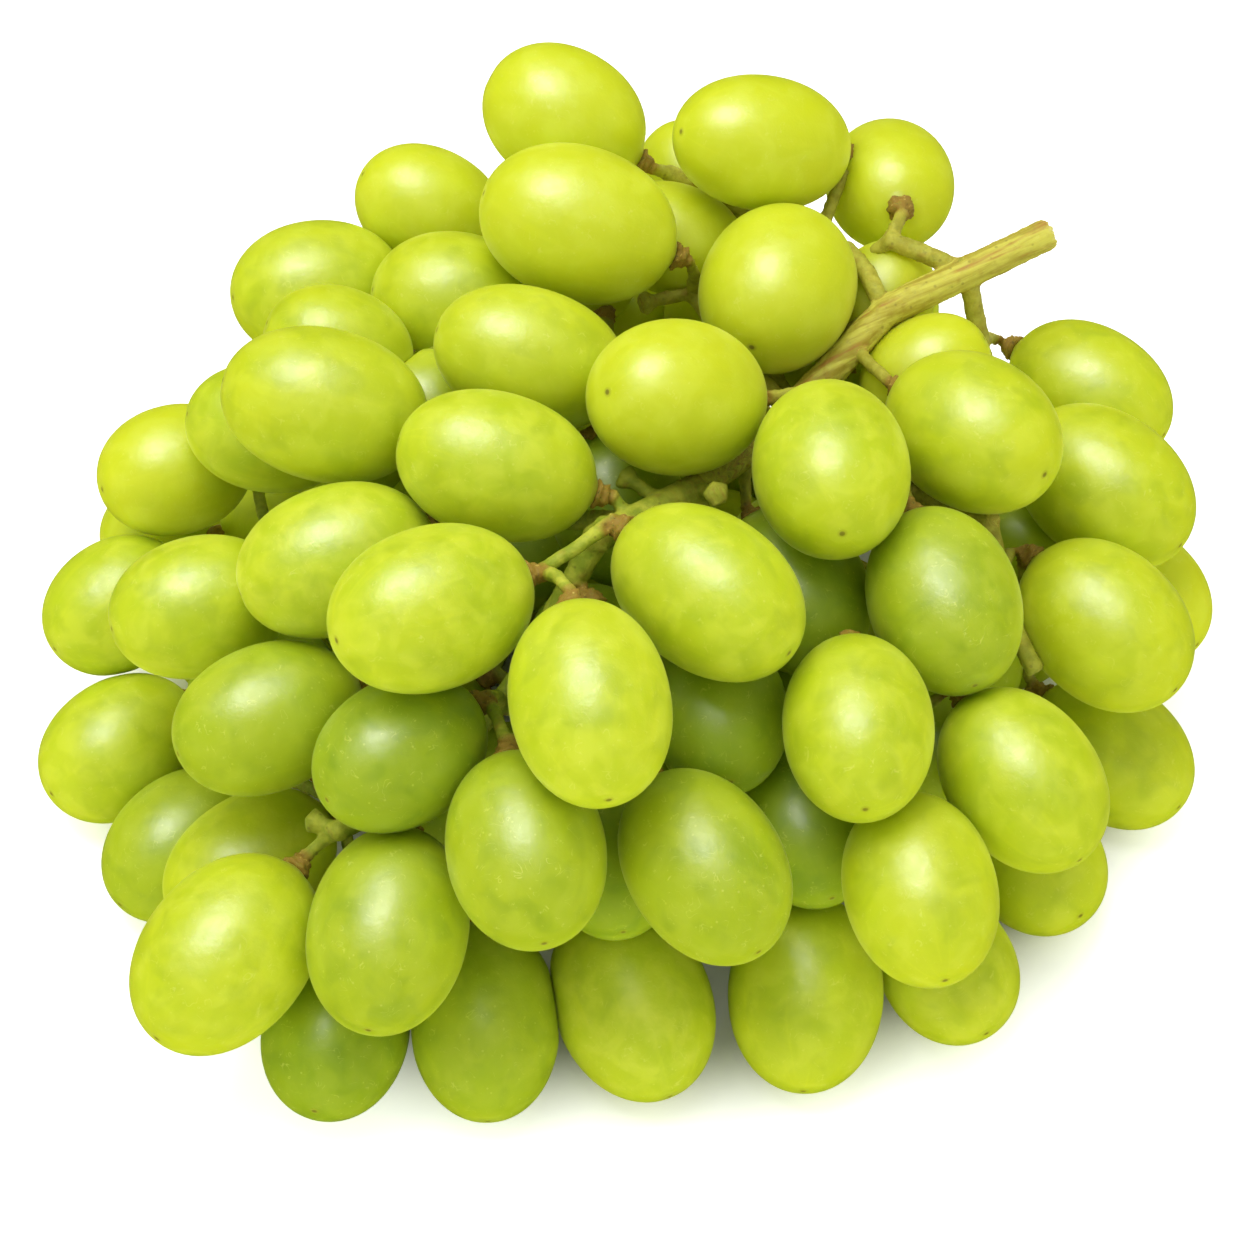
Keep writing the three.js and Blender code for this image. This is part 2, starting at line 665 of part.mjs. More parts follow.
/** The main axis, the side branches and the pedicels that have lost their berries. */
function growBranches() {
  for (const { wide, points } of MAIN_AXIS) {
    lay(rod(routed(points, wide), wide, MAIN_AXIS_SIDES));
    stemParts.push(knuckle(points[points.length - 1], 1.25 * wide));
  }
  for (const { points } of SIDE_BRANCHES) {
    const start = nearestJoint(points[0], joints);
    lay(rod(routed([start, ...points.slice(1)], LATERAL_WIDTH), LATERAL_WIDTH, LATERAL_SIDES));
    stemParts.push(knuckle(start, 1.4 * LATERAL_WIDTH));
  }
  for (const { root, end } of BARE_PEDICELS) {
    const bare = pedicelRod([nearestJoint(root, joints), end], PEDICEL_SIDES);
    stemParts.push(bare.body);
    strands.push(...bare.strand);
  }
}

/** Pedicels shorter than this are straight. */
const SHORT_PEDICEL = 4.8;

/** Grows a pedicel to each berry, the berries nearest to the stem first. */
function hang(hanging, sides) {
  const waiting = hanging.map((berry) => {
    const end = berry.centre.clone().addScaledVector(berry.axis, -berry.long / 2 - TOUCH_GAP);
    return { end, straight: freeOfBerries(end.clone().addScaledVector(berry.axis, -4)) };
  });
  while (waiting.length > 0) {
    const distances = waiting.map(({ straight }) => nearestJoint(straight, joints).distanceTo(straight));
    const [pedicel] = waiting.splice(distances.indexOf(Math.min(...distances)), 1);
    const joint = clearestJoint(pedicel.straight, joints);
    const isShort = joint.distanceTo(pedicel.end) < SHORT_PEDICEL;
    const route = isShort ? [joint] : routed([joint, pedicel.straight], PEDICEL_WIDTH);
    lay(pedicelRod([...route, pedicel.end], sides));
  }
}

/** The place on what has grown so far that is closest to a point. */
function nearestJoint(point, joints) {
  return joints.reduce((best, joint) => (joint.distanceTo(point) < best.distanceTo(point) ? joint : best));
}

/** The place to branch off toward a point: close to it, with few berries in the way. */
function clearestJoint(point, joints) {
  const searchRoom = 14;
  const limit = point.distanceTo(nearestJoint(point, joints)) + searchRoom;
  let best = null;
  let leastEffort = Infinity;
  for (const joint of joints) {
    const distance = joint.distanceTo(point);
    if (distance > limit) continue;
    let blocked = 0;
    for (const share of [0.2, 0.4, 0.6, 0.8]) {
      blocked += pushOutOfBerries(joint.clone().lerp(point, share), PEDICEL_WIDTH / 2).length();
    }
    if (distance + 3 * blocked >= leastEffort) continue;
    leastEffort = distance + 3 * blocked;
    best = joint;
  }
  return best;
}

growBranches();
hang(berries.filter((berry) => !isOfHeart(berry)), PEDICEL_SIDES);
hang(berries.filter(isOfHeart), HIDDEN_PEDICEL_SIDES);

// ---------------------------------------------------------------- the berries of the heart

// Deeper inside, smaller berries fill the room that the other ones and the stem leave.
const HEART_WIDEST = 19;
const HEART_NARROWEST = 15.5;
const HEART_SPACING = 2.5;
const HEART_LEVEL = 0.86;
const HEART_MOST = 42;
const JOIN_REACH = 2.5;
const PATCH_WIDTH = 4.4;
const KNUCKLE_ROOM = 0.9;
const SHARED_BODIES = 13;

/** The radius of the largest ball around a point that is clear of berries, stem and surface. */
function roomAt(point) {
  let room = point.z + FLOOR_PRESS;
  const ball = new THREE.Vector3();
  for (const berry of berries) {
    if (berry.centre.distanceTo(point) > 1.7 * BERRY_LENGTH) continue;
    for (const { offset, radius } of berry.balls) {
      ball.copy(berry.centre).addScaledVector(berry.axis, offset);
      room = Math.min(room, ball.distanceTo(point) - radius);
    }
  }
  for (const { centre, radius } of strands) room = Math.min(room, centre.distanceTo(point) - radius);
  return room - TOUCH_GAP;
}

/** How far a point is from a sight line. */
function offLine(point, line) {
  const from = point.clone().sub(station);
  return from.addScaledVector(line, -from.dot(line)).length();
}

/** Whether a berry covers a sight line. */
function isCovered(line) {
  const ball = new THREE.Vector3();
  return berries.some((berry) =>
    berry.balls.some(({ offset, radius }) => {
      ball.copy(berry.centre).addScaledVector(berry.axis, offset);
      return offLine(ball, line) < radius;
    }),
  );
}

/** Whether the station sees a point past all the berries. */
function isSeen(point) {
  const line = point.clone().sub(station).normalize();
  const distance = point.distanceTo(station);
  return !berries.some(
    (berry) =>
      berry.centre.distanceTo(station) < distance && offLine(berry.centre, line) < 0.48 * berry.wide,
  );
}

const seenStrands = strands.filter(({ centre }) => isSeen(centre)).map(({ centre }) => centre);

/** Whether a ball would hide a part of the stem that the station sees. */
function hidesStem(centre, radius) {
  const distance = centre.distanceTo(station);
  return seenStrands.some((point) => {
    if (point.distanceTo(station) < distance) return false;
    return offLine(centre, point.clone().sub(station).normalize()) < radius;
  });
}

/** Whether a ball shows only in front of other berries, so that the outline stays as surveyed. */
function staysInOutline(centre, radius) {
  for (let corner = 0; corner < 12; corner += 1) {
    const turn = (2 * Math.PI * corner) / 12;
    const edge = centre
      .clone()
      .addScaledVector(sightRight, radius * Math.cos(turn))
      .addScaledVector(sightUp, radius * Math.sin(turn));
    if (!isCovered(edge.sub(station).normalize())) return false;
  }
  return true;
}

/** A berry of the heart in a ball-shaped room, drawn out along the way with the most room. */
function heartBerry(centre, radius) {
  const nearest = nearestJoint(centre, joints);
  const inward = nearest.clone().sub(centre).normalize();
  let axis = null;
  let most = -Infinity;
  for (let tilt = -1; tilt <= 1; tilt += 1) {
    for (let turn = -1; turn <= 1; turn += 1) {
      const tip = inward.clone().negate();
      tip.x += 0.5 * turn;
      tip.z += 0.5 * tilt;
      tip.normalize();
      const ahead = roomAt(centre.clone().addScaledVector(tip, 0.45 * radius));
      const behind = roomAt(centre.clone().addScaledVector(tip, -0.45 * radius));
      if (Math.min(ahead, behind) <= most) continue;
      most = Math.min(ahead, behind);
      axis = tip;
    }
  }
  const drawnOut = THREE.MathUtils.clamp(most / radius + 0.45, 1.06, 1.25);
  const wide = 2 * radius;
  const berry = { name: HEART, ofHeart: true, axis, wide, long: wide * drawnOut, centre };
  berry.balls = fillingBalls(berry);
  return berry;
}

/** The berries that nobody sees, from the surface up, each where there is room for it. */
function growHidden(narrowest) {
  const places = [];
  for (let z = HEART_NARROWEST / 2 - FLOOR_PRESS; z < DOME_HEIGHT; z += HEART_SPACING) {
    for (let y = DOME_CENTRE_Y - DOME_HALF_DEPTH; y < DOME_CENTRE_Y + DOME_HALF_DEPTH; y += HEART_SPACING) {
      for (let x = -DOME_HALF_WIDTH; x < DOME_HALF_WIDTH; x += HEART_SPACING) {
        const point = new THREE.Vector3(x, y, z);
        if (domeLevel(point) < HEART_LEVEL && roomAt(point) >= narrowest / 2) places.push(point);
      }
    }
  }
  for (const point of places) {
    const room = Math.min(roomAt(point), HEART_WIDEST / 2);
    if (room < narrowest / 2) continue;
    if (hidesStem(point, room) || !staysInOutline(point, room)) continue;
    if (berries.length - outerCount >= HEART_MOST) return;
    berries.push(heartBerry(point, room));
  }
}

const outerCount = berries.length;
growHidden(0.5 * (HEART_WIDEST + HEART_NARROWEST));
growHidden(HEART_NARROWEST);
hang(berries.slice(outerCount), HIDDEN_PEDICEL_SIDES);

/** The whole stem, cut back where it would run into a berry. */
function stemSolid() {
  let whole = stemParts[0];
  for (const part of stemParts.slice(1)) whole = whole.add(part);
  for (const berry of berries) {
    const [wide, long] = [berry.wide + 2 * TOUCH_GAP, berry.long + 1.8 * TOUCH_GAP];
    const room = berryShape(wide, long, sidesOf(berry));
    whole = whole.subtract(solid(room.applyMatrix4(placement(berry.centre, berry.axis))));
  }
  return whole;
}

// ---------------------------------------------------------------- berries that share a body

/** The point of a berry's skin that lies furthest along a direction. */
function touchPoint(berry, direction) {
  const b = berry.wide / 2;
  const a = berry.long / 2;
  return berry.centre
    .clone()
    .addScaledVector(direction, (b * b) / reach(berry, direction))
    .addScaledVector(berry.axis, ((a * a - b * b) * direction.dot(berry.axis)) / reach(berry, direction));
}

/** The patch where two berries of one body press together, or nothing if the stem is in between. */
function pressPatch(first, second) {
  const deep = 1.3;
  const { direction, gap } = gapBetween(first, second);
  if (gap > JOIN_REACH) return null;
  const from = touchPoint(first, direction).addScaledVector(direction, -deep);
  const to = touchPoint(second, direction.clone().negate()).addScaledVector(direction, deep);
  const middle = from.clone().lerp(to, 0.5);
  const clear = PATCH_WIDTH / 2 + KNUCKLE_ROOM;
  if (strands.some(({ centre, radius }) => centre.distanceTo(middle) < radius + clear)) return null;
  const length = from.distanceTo(to);
  const patch = new THREE.CylinderGeometry(PATCH_WIDTH / 2, PATCH_WIDTH / 2, length, PEDICEL_SIDES);
  return solid(patch.applyMatrix4(placement(middle, to.clone().sub(from).normalize())));
}

/** Joins the smallest body that presses against another one to it. */
function joinSmallest(bodies) {
  bodies.sort((one, other) => one.length - other.length);
  for (const body of bodies) {
    for (const host of bodies) {
      if (host === body) continue;
      for (const berry of body) {
        const other = host.find((candidate) => pressPatch(berry, candidate));
        if (!other) continue;
        berry.patches = [...(berry.patches ?? []), pressPatch(berry, other)];
        host.push(...body);
        bodies.splice(bodies.indexOf(body), 1);
        return true;
      }
    }
  }
  return false;
}

/** Sorts the berries of the far side and the heart into bodies that are pressed together. */
function sortIntoBodies() {
  const bodies = [];
  for (const berry of berries) {
    const mates = bodies.find(([first]) => areMates(first, berry));
    if (mates) mates.push(berry);
    else if (berry.pair || isOfHeart(berry)) bodies.push([berry]);
  }
  while (bodies.length > SHARED_BODIES && joinSmallest(bodies));
  const counts = new Map();
  for (const body of bodies) {
    const [{ name }] = body;
    counts.set(name, 1 + (counts.get(name) ?? 0));
    for (const berry of body) berry.name = `${name}_${counts.get(name)}`;
  }
}

sortIntoBodies();

// ---------------------------------------------------------------- colours

const berrySkin = new THREE.MeshStandardMaterial({ color: 0xa9c437, roughness: 0.35, metalness: 0 });
const stemBark = new THREE.MeshStandardMaterial({ color: 0x8f8a3c, roughness: 0.7, metalness: 0 });

// ---------------------------------------------------------------- the whole bunch

/** A named mesh whose geometry is about its own centre, in its own directions. */
function namedMesh(name, body, material, place) {
  const geometry = geometryOf(body).applyMatrix4(place.clone().invert());
  geometry.computeVertexNormals();
  const mesh = new THREE.Mesh(geometry, material);
  mesh.name = name;
  place.decompose(mesh.position, mesh.quaternion, mesh.scale);
  return mesh;
}

function berryMeshes() {
  const byName = new Map();
  for (const berry of berries) {
    let body = berrySolid(berry);
    for (const patch of berry.patches ?? []) body = body.add(patch);
    const known = byName.get(berry.name);
    if (known) known.body = known.body.add(body);
    else byName.set(berry.name, { body, place: placement(berry.centre, berry.axis) });
  }
  return [...byName].map(([name, { body, place }]) => namedMesh(name, body, berrySkin, place));
}

const bunch = new THREE.Group();
bunch.add(namedMesh("stem", stemSolid(), stemBark, new THREE.Matrix4()));
bunch.add(...berryMeshes());

// The origin lies on the surface, under the middle of the bunch.
const extent = new THREE.Box3().setFromObject(bunch, true);
const middle = extent.getCenter(new THREE.Vector3());
bunch.position.set(-middle.x, -middle.y, 0);

export default bunch;
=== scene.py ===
"""The looks of a bunch of green seedless table grapes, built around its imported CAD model.

Each CAD node of berries is replaced by smooth berries of the same size, place and direction, and
the CAD stem by the same stem with rounded, warty bark. Lengths are in metres, in the CAD's frame,
unless a name or a comment says millimetres.
"""

import math

import bpy
import numpy as np
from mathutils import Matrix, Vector, noise
from mathutils.bvhtree import BVHTree
from mathutils.kdtree import KDTree


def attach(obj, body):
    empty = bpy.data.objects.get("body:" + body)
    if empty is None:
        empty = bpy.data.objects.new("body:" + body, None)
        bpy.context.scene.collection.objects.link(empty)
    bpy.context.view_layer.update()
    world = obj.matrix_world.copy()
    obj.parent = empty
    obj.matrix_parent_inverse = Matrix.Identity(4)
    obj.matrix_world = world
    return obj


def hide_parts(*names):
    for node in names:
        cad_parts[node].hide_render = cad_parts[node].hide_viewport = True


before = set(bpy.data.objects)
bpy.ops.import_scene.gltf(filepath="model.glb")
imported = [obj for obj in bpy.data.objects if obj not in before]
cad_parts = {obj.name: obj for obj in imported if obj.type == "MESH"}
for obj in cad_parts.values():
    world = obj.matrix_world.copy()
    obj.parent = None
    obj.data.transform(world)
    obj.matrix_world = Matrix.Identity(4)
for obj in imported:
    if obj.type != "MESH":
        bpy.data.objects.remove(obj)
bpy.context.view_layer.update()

MM = 0.001
STEM_NODE = "stem"

# ---------------------------------------------------------------- camera, light and floor

AIM = Vector((-0.34, -9.51, 35)) * MM
CAMERA_DISTANCE = 0.5
CAMERA_ELEVATION = math.radians(50)
NEAREST_SEEN = 0.01
VIEW_SPAN = 0.175
SENSOR_MM = 36

KEY_SIZE = 0.6
KEY_PLACE = Vector((-0.17, 0.06, 1.0))
KEY_AIM = Vector((0, 0, 0.02))
KEY_POWER = 6.0
WORLD_STRENGTH = 0.76
WHITE = (1, 1, 1, 1)


def look_at(item, target):
    """Turns a camera or a light so that it faces a point."""
    direction = target - item.location
    item.rotation_euler = direction.to_track_quat("-Z", "Y").to_euler()


def add_camera():
    """The camera looks down on the bunch from the front."""
    data = bpy.data.cameras.new("camera")
    data.sensor_width = SENSOR_MM
    data.lens = SENSOR_MM * CAMERA_DISTANCE / VIEW_SPAN
    data.clip_start = NEAREST_SEEN
    camera = bpy.data.objects.new("camera", data)
    bpy.context.scene.collection.objects.link(camera)
    back = Vector((0, -math.cos(CAMERA_ELEVATION), math.sin(CAMERA_ELEVATION)))
    camera.location = AIM + CAMERA_DISTANCE * back
    look_at(camera, AIM)
    bpy.context.scene.camera = camera


def add_softbox():
    """One large softbox overhead."""
    data = bpy.data.lights.new("softbox", "AREA")
    data.shape = "SQUARE"
    data.size = KEY_SIZE
    data.energy = KEY_POWER
    softbox = bpy.data.objects.new("softbox", data)
    softbox.location = KEY_PLACE
    bpy.context.scene.collection.objects.link(softbox)
    look_at(softbox, KEY_AIM)


def add_surround():
    """An even white surround, which shiny surfaces don't mirror."""
    world = bpy.data.worlds.new("surround")
    world.use_nodes = True
    background = world.node_tree.nodes["Background"]
    background.inputs["Color"].default_value = WHITE
    background.inputs["Strength"].default_value = WORLD_STRENGTH
    bpy.context.scene.world = world
    world.cycles_visibility.glossy = False
    bpy.context.scene.view_settings.view_transform = "Standard"


# ---------------------------------------------------------------- material nodes


class Shader:
    """A new material and short ways to add and join its nodes."""

    # The mix node's colour sockets share their names with its other sockets, so they go by number.
    MIX_FIRST = 6
    MIX_SECOND = 7
    MIX_RESULT = 2

    def __init__(self, name):
        self.material = bpy.data.materials.new(name)
        self.material.use_nodes = True
        self.tree = self.material.node_tree
        self.surface = self.tree.nodes["Principled BSDF"]

    def set(self, **values):
        """Sets plain values of the surface."""
        for name, value in values.items():
            self.surface.inputs[name.replace("_", " ")].default_value = value

    def join(self, output, socket):
        self.tree.links.new(output, socket)

    def feed(self, socket, value):
        """Puts a node's output or a plain value into a socket."""
        if isinstance(value, bpy.types.NodeSocket):
            self.join(value, socket)
        else:
            socket.default_value = value

    def node(self, kind, inputs=(), **settings):
        node = self.tree.nodes.new(kind)
        for name, value in settings.items():
            setattr(node, name, value)
        for key, value in dict(inputs).items():
            self.feed(node.inputs[key], value)
        return node

    def attribute(self, name, output="Fac"):
        return self.node("ShaderNodeAttribute", attribute_name=name).outputs[output]

    def noise(self, place, scale, detail=2.0, roughness=0.5, distortion=0.0):
        inputs = {
            "Vector": place,
            "Scale": scale,
            "Detail": detail,
            "Roughness": roughness,
            "Distortion": distortion,
        }
        return self.node("ShaderNodeTexNoise", inputs).outputs["Fac"]

    def specks(self, place, scale):
        """The distance to the nearest of many scattered points."""
        inputs = {"Vector": place, "Scale": scale}
        return self.node("ShaderNodeTexVoronoi", inputs).outputs["Distance"]

    def math(self, operation, first, second=0.0, clamp=False):
        node = self.node("ShaderNodeMath", operation=operation, use_clamp=clamp)
        self.feed(node.inputs[0], first)
        self.feed(node.inputs[1], second)
        return node.outputs[0]

    def ramp(self, value, low, high, to_low=0.0, to_high=1.0):
        """A smooth step of a value from low to high."""
        inputs = {
            "Value": value,
            "From Min": low,
            "From Max": high,
            "To Min": to_low,
            "To Max": to_high,
        }
        node = self.node("ShaderNodeMapRange", inputs, interpolation_type="SMOOTHSTEP")
        return node.outputs["Result"]

    def fade(self, value, low, high, most=1.0):
        """A smooth step down to 0 of a value from low to high."""
        return self.ramp(value, low, high, most, 0.0)

    def mix(self, share, first, second):
        node = self.node("ShaderNodeMix", data_type="RGBA")
        self.feed(node.inputs["Factor"], share)
        self.feed(node.inputs[self.MIX_FIRST], first)
        self.feed(node.inputs[self.MIX_SECOND], second)
        return node.outputs[self.MIX_RESULT]

    def bump(self, height, distance, strength=1.0, normal=None):
        inputs = {"Height": height, "Distance": distance, "Strength": strength}
        if normal is not None:
            inputs["Normal"] = normal
        return self.node("ShaderNodeBump", inputs).outputs["Normal"]


def colour(red, green, blue):
    """A colour given in 0-255 display values, as the shader's linear one."""
    linear = []
    for value in (red, green, blue):
        share = value / 255
        linear.append(share / 12.92 if share <= 0.04045 else ((share + 0.055) / 1.055) ** 2.4)
    return (*linear, 1.0)


# ---------------------------------------------------------------- grape skin

# The skin and bark places that shaders read are in millimetres, so that noise with a scale of
# 0.25 makes patches some 4 mm wide. Vein places run round and along each berry instead.

SKIN_GREEN = colour(184, 207, 2)
SKIN_YELLOW = colour(212, 222, 6)
SKIN_PALE = colour(220, 231, 56)
# Deep green of the dark clouds, and of the painted shade on berries in the bunch's shadow.
SKIN_DEEP_AND_SHADE = colour(122, 156, 1)
SKIN_VEIN = colour(226, 234, 32)
SKIN_BLOOM = colour(224, 232, 72)
SKIN_MARK = colour(232, 237, 120)
SKIN_SHEEN = colour(240, 244, 190)
SCAR_BROWN = colour(112, 98, 10)
SCAR_RIM = colour(180, 182, 36)
FLESH_RADIUS = (9 * MM, 8 * MM, 1.5 * MM)
CLOUD_CONTRAST = 0.8
CLOUD_MIDDLE = 0.4
MOST_PALE = 0.42
MOST_VEIN = 0.2
MOST_DARK = 0.2
MARK_SHARE = 0.35
SMOOTHEST_SKIN = 0.35
ROUGHEST_SKIN = 0.46
DENT_DEPTH = 0.5 * MM
PORE_DEPTH = 0.06 * MM


def skin_marks(shader, place):
    """Short, thin, curved scratches in the bloom, and fine pale specks."""
    waves = shader.noise(place, 0.5, detail=1.0, roughness=0.4, distortion=1.2)
    off_line = shader.math("ABSOLUTE", shader.math("SUBTRACT", waves, 0.5))
    lines = shader.fade(off_line, 0.004, 0.016)
    broken = shader.ramp(shader.noise(place, 0.62), 0.52, 0.62)
    specks = shader.fade(shader.specks(place, 0.62), 0.06, 0.13, 0.8)
    scratches = shader.math("MULTIPLY", lines, broken)
    return shader.math("MAXIMUM", scratches, specks)


def skin_colour(shader, place):
    """Yellow-green with clouds, faint veins from end to end, bloom, marks, a scar at the tip, and
    painted light and shade berry by berry.
    """
    veins = shader.attribute("vein_place", "Vector")
    along = shader.attribute("along")
    clouds = shader.math("MULTIPLY", shader.noise(place, 0.12, distortion=0.3), CLOUD_CONTRAST)
    # Ripeness is a tone of each berry, and also carries painted light on the brightest berries.
    cloudy = shader.math("ADD", shader.attribute("ripeness_and_painted_light"), clouds)
    ripe = shader.math("SUBTRACT", cloudy, CLOUD_MIDDLE, clamp=True)
    skin = shader.mix(ripe, SKIN_GREEN, SKIN_YELLOW)
    pale = shader.noise(place, 0.24, detail=2.5, distortion=0.7)
    skin = shader.mix(shader.ramp(pale, 0.44, 0.66, to_high=MOST_PALE), skin, SKIN_PALE)
    vein = shader.noise(veins, 1.0, distortion=0.25)
    skin = shader.mix(shader.ramp(vein, 0.55, 0.75, to_high=MOST_VEIN), skin, SKIN_VEIN)
    patches = shader.noise(place, 0.3, detail=4.0, roughness=0.6, distortion=0.5)
    waxy = shader.ramp(patches, 0.4, 0.75)
    bloom = shader.math("MULTIPLY", waxy, shader.attribute("waxiness"))
    skin = shader.mix(bloom, skin, SKIN_BLOOM)
    dark = shader.ramp(shader.noise(place, 0.2, distortion=0.5), 0.45, 0.75, to_high=MOST_DARK)
    # The depth attribute carries painted shade on berries inside and under others, on top of the dark
    # clouds.
    deep = shader.math("ADD", dark, shader.attribute("depth"), clamp=True)
    skin = shader.mix(deep, skin, SKIN_DEEP_AND_SHADE)
    marks = shader.math("MULTIPLY", skin_marks(shader, place), MARK_SHARE)
    skin = shader.mix(marks, skin, SKIN_MARK)
    skin = shader.mix(shader.fade(along, -0.9992, -0.9975, 0.5), skin, SCAR_RIM)
    return shader.mix(shader.fade(along, -0.9998, -0.9992, 0.8), skin, SCAR_BROWN)


def skin_relief(shader, place):
    """Shallow dents with fine pores in them."""
    pores = shader.noise(place, 2.6, detail=3.0, roughness=0.6)
    dents = shader.noise(place, 0.5, detail=3.0)
    normal = shader.bump(dents, DENT_DEPTH, 0.16)
    return shader.bump(pores, PORE_DEPTH, 0.25, normal)


def grape_skin():
    """Waxy, translucent, mottled skin."""
    shader = Shader("grape_skin")
    place = shader.attribute("skin_place", "Vector")
    shader.join(skin_colour(shader, place), shader.surface.inputs["Base Color"])
    mottle = shader.noise(place, 0.35, distortion=0.4)
    rough = shader.ramp(mottle, 0.3, 0.7, SMOOTHEST_SKIN, ROUGHEST_SKIN)
    shader.join(rough, shader.surface.inputs["Roughness"])
    shader.join(skin_relief(shader, place), shader.surface.inputs["Normal"])
    shader.set(IOR=1.6, Subsurface_Weight=0.85, Subsurface_Scale=1.0, Specular_IOR_Level=1.0)
    shader.set(Subsurface_Radius=FLESH_RADIUS, Coat_Weight=0.9, Coat_Roughness=0.55)
    shader.set(Sheen_Weight=0.12, Sheen_Roughness=0.25, Sheen_Tint=SKIN_SHEEN)
    return shader.material


# ---------------------------------------------------------------- stem bark

BARK_GREEN = colour(142, 162, 30)
BARK_PALE = colour(196, 202, 62)
BARK_WOOD = colour(176, 162, 44)
BARK_WOOD_PALE = colour(222, 220, 86)
BARK_RUST = colour(158, 126, 40)
BARK_CRUMB = colour(222, 200, 96)
BARK_BROWN = colour(84, 64, 16)
BARK_LINE = colour(180, 118, 52)
CUT_FLESH = colour(222, 214, 112)
BARK_FLESH_RADIUS = (1.2 * MM, 1.0 * MM, 0.4 * MM)
MOST_LINED = 0.75
MOST_SPECKED = 0.35
WART_SHARE = 0.6
GRAIN_DEPTH = 0.15 * MM
CRUMB_DEPTH = 0.2 * MM


def sound_bark(shader, place, grain):
    """Green bark that turns into streaked, finely lined wood near the cut end."""
    tone = shader.noise(place, 0.35, detail=3.0, roughness=0.6, distortion=0.3)
    green = shader.mix(shader.ramp(tone, 0.35, 0.7), BARK_GREEN, BARK_PALE)
    streaks = shader.noise(grain, 0.6, detail=4.0, roughness=0.6, distortion=0.4)
    woody = shader.mix(shader.ramp(streaks, 0.38, 0.62), BARK_WOOD, BARK_WOOD_PALE)
    bark = shader.mix(shader.attribute("woodiness"), green, woody)
    lines = shader.noise(grain, 0.5, detail=3.0, roughness=0.6)
    lined = shader.ramp(lines, 0.52, 0.62, to_high=MOST_LINED)
    return shader.mix(shader.math("MULTIPLY", lined, shader.attribute("ribbed")), bark, BARK_LINE)


def rusty_bark(shader, bark, crumbs):
    """Bark with rust, pale flakes and dark holes where it is rusty."""
    rust = shader.attribute("rustiness")
    rusty = shader.math("MULTIPLY", rust, shader.ramp(crumbs, 0.25, 0.5, 0.35, 1.0), clamp=True)
    bark = shader.mix(rusty, bark, BARK_RUST)
    flakes = shader.math("MULTIPLY", rust, shader.ramp(crumbs, 0.58, 0.7, to_high=0.8), clamp=True)
    bark = shader.mix(flakes, bark, BARK_CRUMB)
    holes = shader.math("MULTIPLY", rust, shader.fade(crumbs, 0.3, 0.42, 0.9), clamp=True)
    return shader.mix(holes, bark, BARK_BROWN)


def marked_bark(shader, bark, place):
    """Bark with brown specks, rusty warts and the pale flesh of the cut end."""
    spots = shader.fade(shader.specks(place, 0.6), 0.08, 0.2, MOST_SPECKED)
    bark = shader.mix(spots, bark, BARK_BROWN)
    warts = shader.math("MULTIPLY", shader.attribute("wart"), WART_SHARE, clamp=True)
    bark = shader.mix(warts, bark, BARK_RUST)
    return shader.mix(shader.attribute("cut_end"), bark, CUT_FLESH)


def stem_bark():
    """Green bark, woody near the cut end, rusty and crumbly at the nodes and under the berries."""
    shader = Shader("stem_bark")
    place = shader.attribute("bark_place", "Vector")
    grain = shader.attribute("grain_place", "Vector")
    crumbs = shader.noise(place, 1.3, detail=4.0, roughness=0.7, distortion=0.4)
    bark = sound_bark(shader, place, grain)
    bark = rusty_bark(shader, bark, crumbs)
    bark = marked_bark(shader, bark, place)
    shader.join(bark, shader.surface.inputs["Base Color"])
    shader.join(shader.ramp(crumbs, 0.3, 0.7, 0.5, 0.8), shader.surface.inputs["Roughness"])
    fibres = shader.noise(grain, 3.0, detail=4.0, roughness=0.65)
    normal = shader.bump(fibres, GRAIN_DEPTH, 0.6)
    normal = shader.bump(crumbs, CRUMB_DEPTH, 0.6, normal)
    shader.join(normal, shader.surface.inputs["Normal"])
    shader.set(IOR=1.45, Subsurface_Weight=0.12, Subsurface_Scale=1.0)
    shader.set(Subsurface_Radius=BARK_FLESH_RADIUS)
    return shader.material


# ---------------------------------------------------------------- floor

FLOOR_HALF = 3.0
FLOOR_GREY = (0.93, 0.93, 0.93, 1)
FLOOR_WHITE = (0.95, 0.95, 0.95, 1)
# Painted light: the floor glows around the bunch, not under it, so the bunch's shadow fades out close
# to it.
FLOOR_GLOW = 0.6
GLOW_FROM = 0.75
GLOW_FULL = 1.02
BUNCH_HALF_WIDTH = 0.085
BUNCH_HALF_DEPTH = 0.074


def floor_glow(shader, place):
    """How much the floor glows, as painted light that lifts the bunch's shadow around it: nothing
    under the bunch, and evenly around it.
    """
    stretch = (1 / BUNCH_HALF_WIDTH, 1 / BUNCH_HALF_DEPTH, 1.0)
    shape = shader.node("ShaderNodeMapping", {"Vector": place, "Scale": stretch})
    from_bunch = shader.node("ShaderNodeVectorMath", operation="LENGTH")
    shader.join(shape.outputs["Vector"], from_bunch.inputs[0])
    return shader.ramp(from_bunch.outputs["Value"], GLOW_FROM, GLOW_FULL, to_high=FLOOR_GLOW)


def floor_paint():
    """A plain matt white with the slightest unevenness, and a painted glow around the bunch that lifts
    its shadow there.
    """
    shader = Shader("floor_paint")
    place = shader.node("ShaderNodeTexCoord").outputs["Object"]
    tone = shader.noise(place, 30.0, detail=3.0)
    paint = shader.mix(tone, FLOOR_GREY, FLOOR_WHITE)
    shader.join(paint, shader.surface.inputs["Base Color"])
    shader.join(floor_glow(shader, place), shader.surface.inputs["Emission Strength"])
    shader.set(Roughness=0.8, Specular_IOR_Level=0.1, Emission_Color=WHITE)
    return shader.material


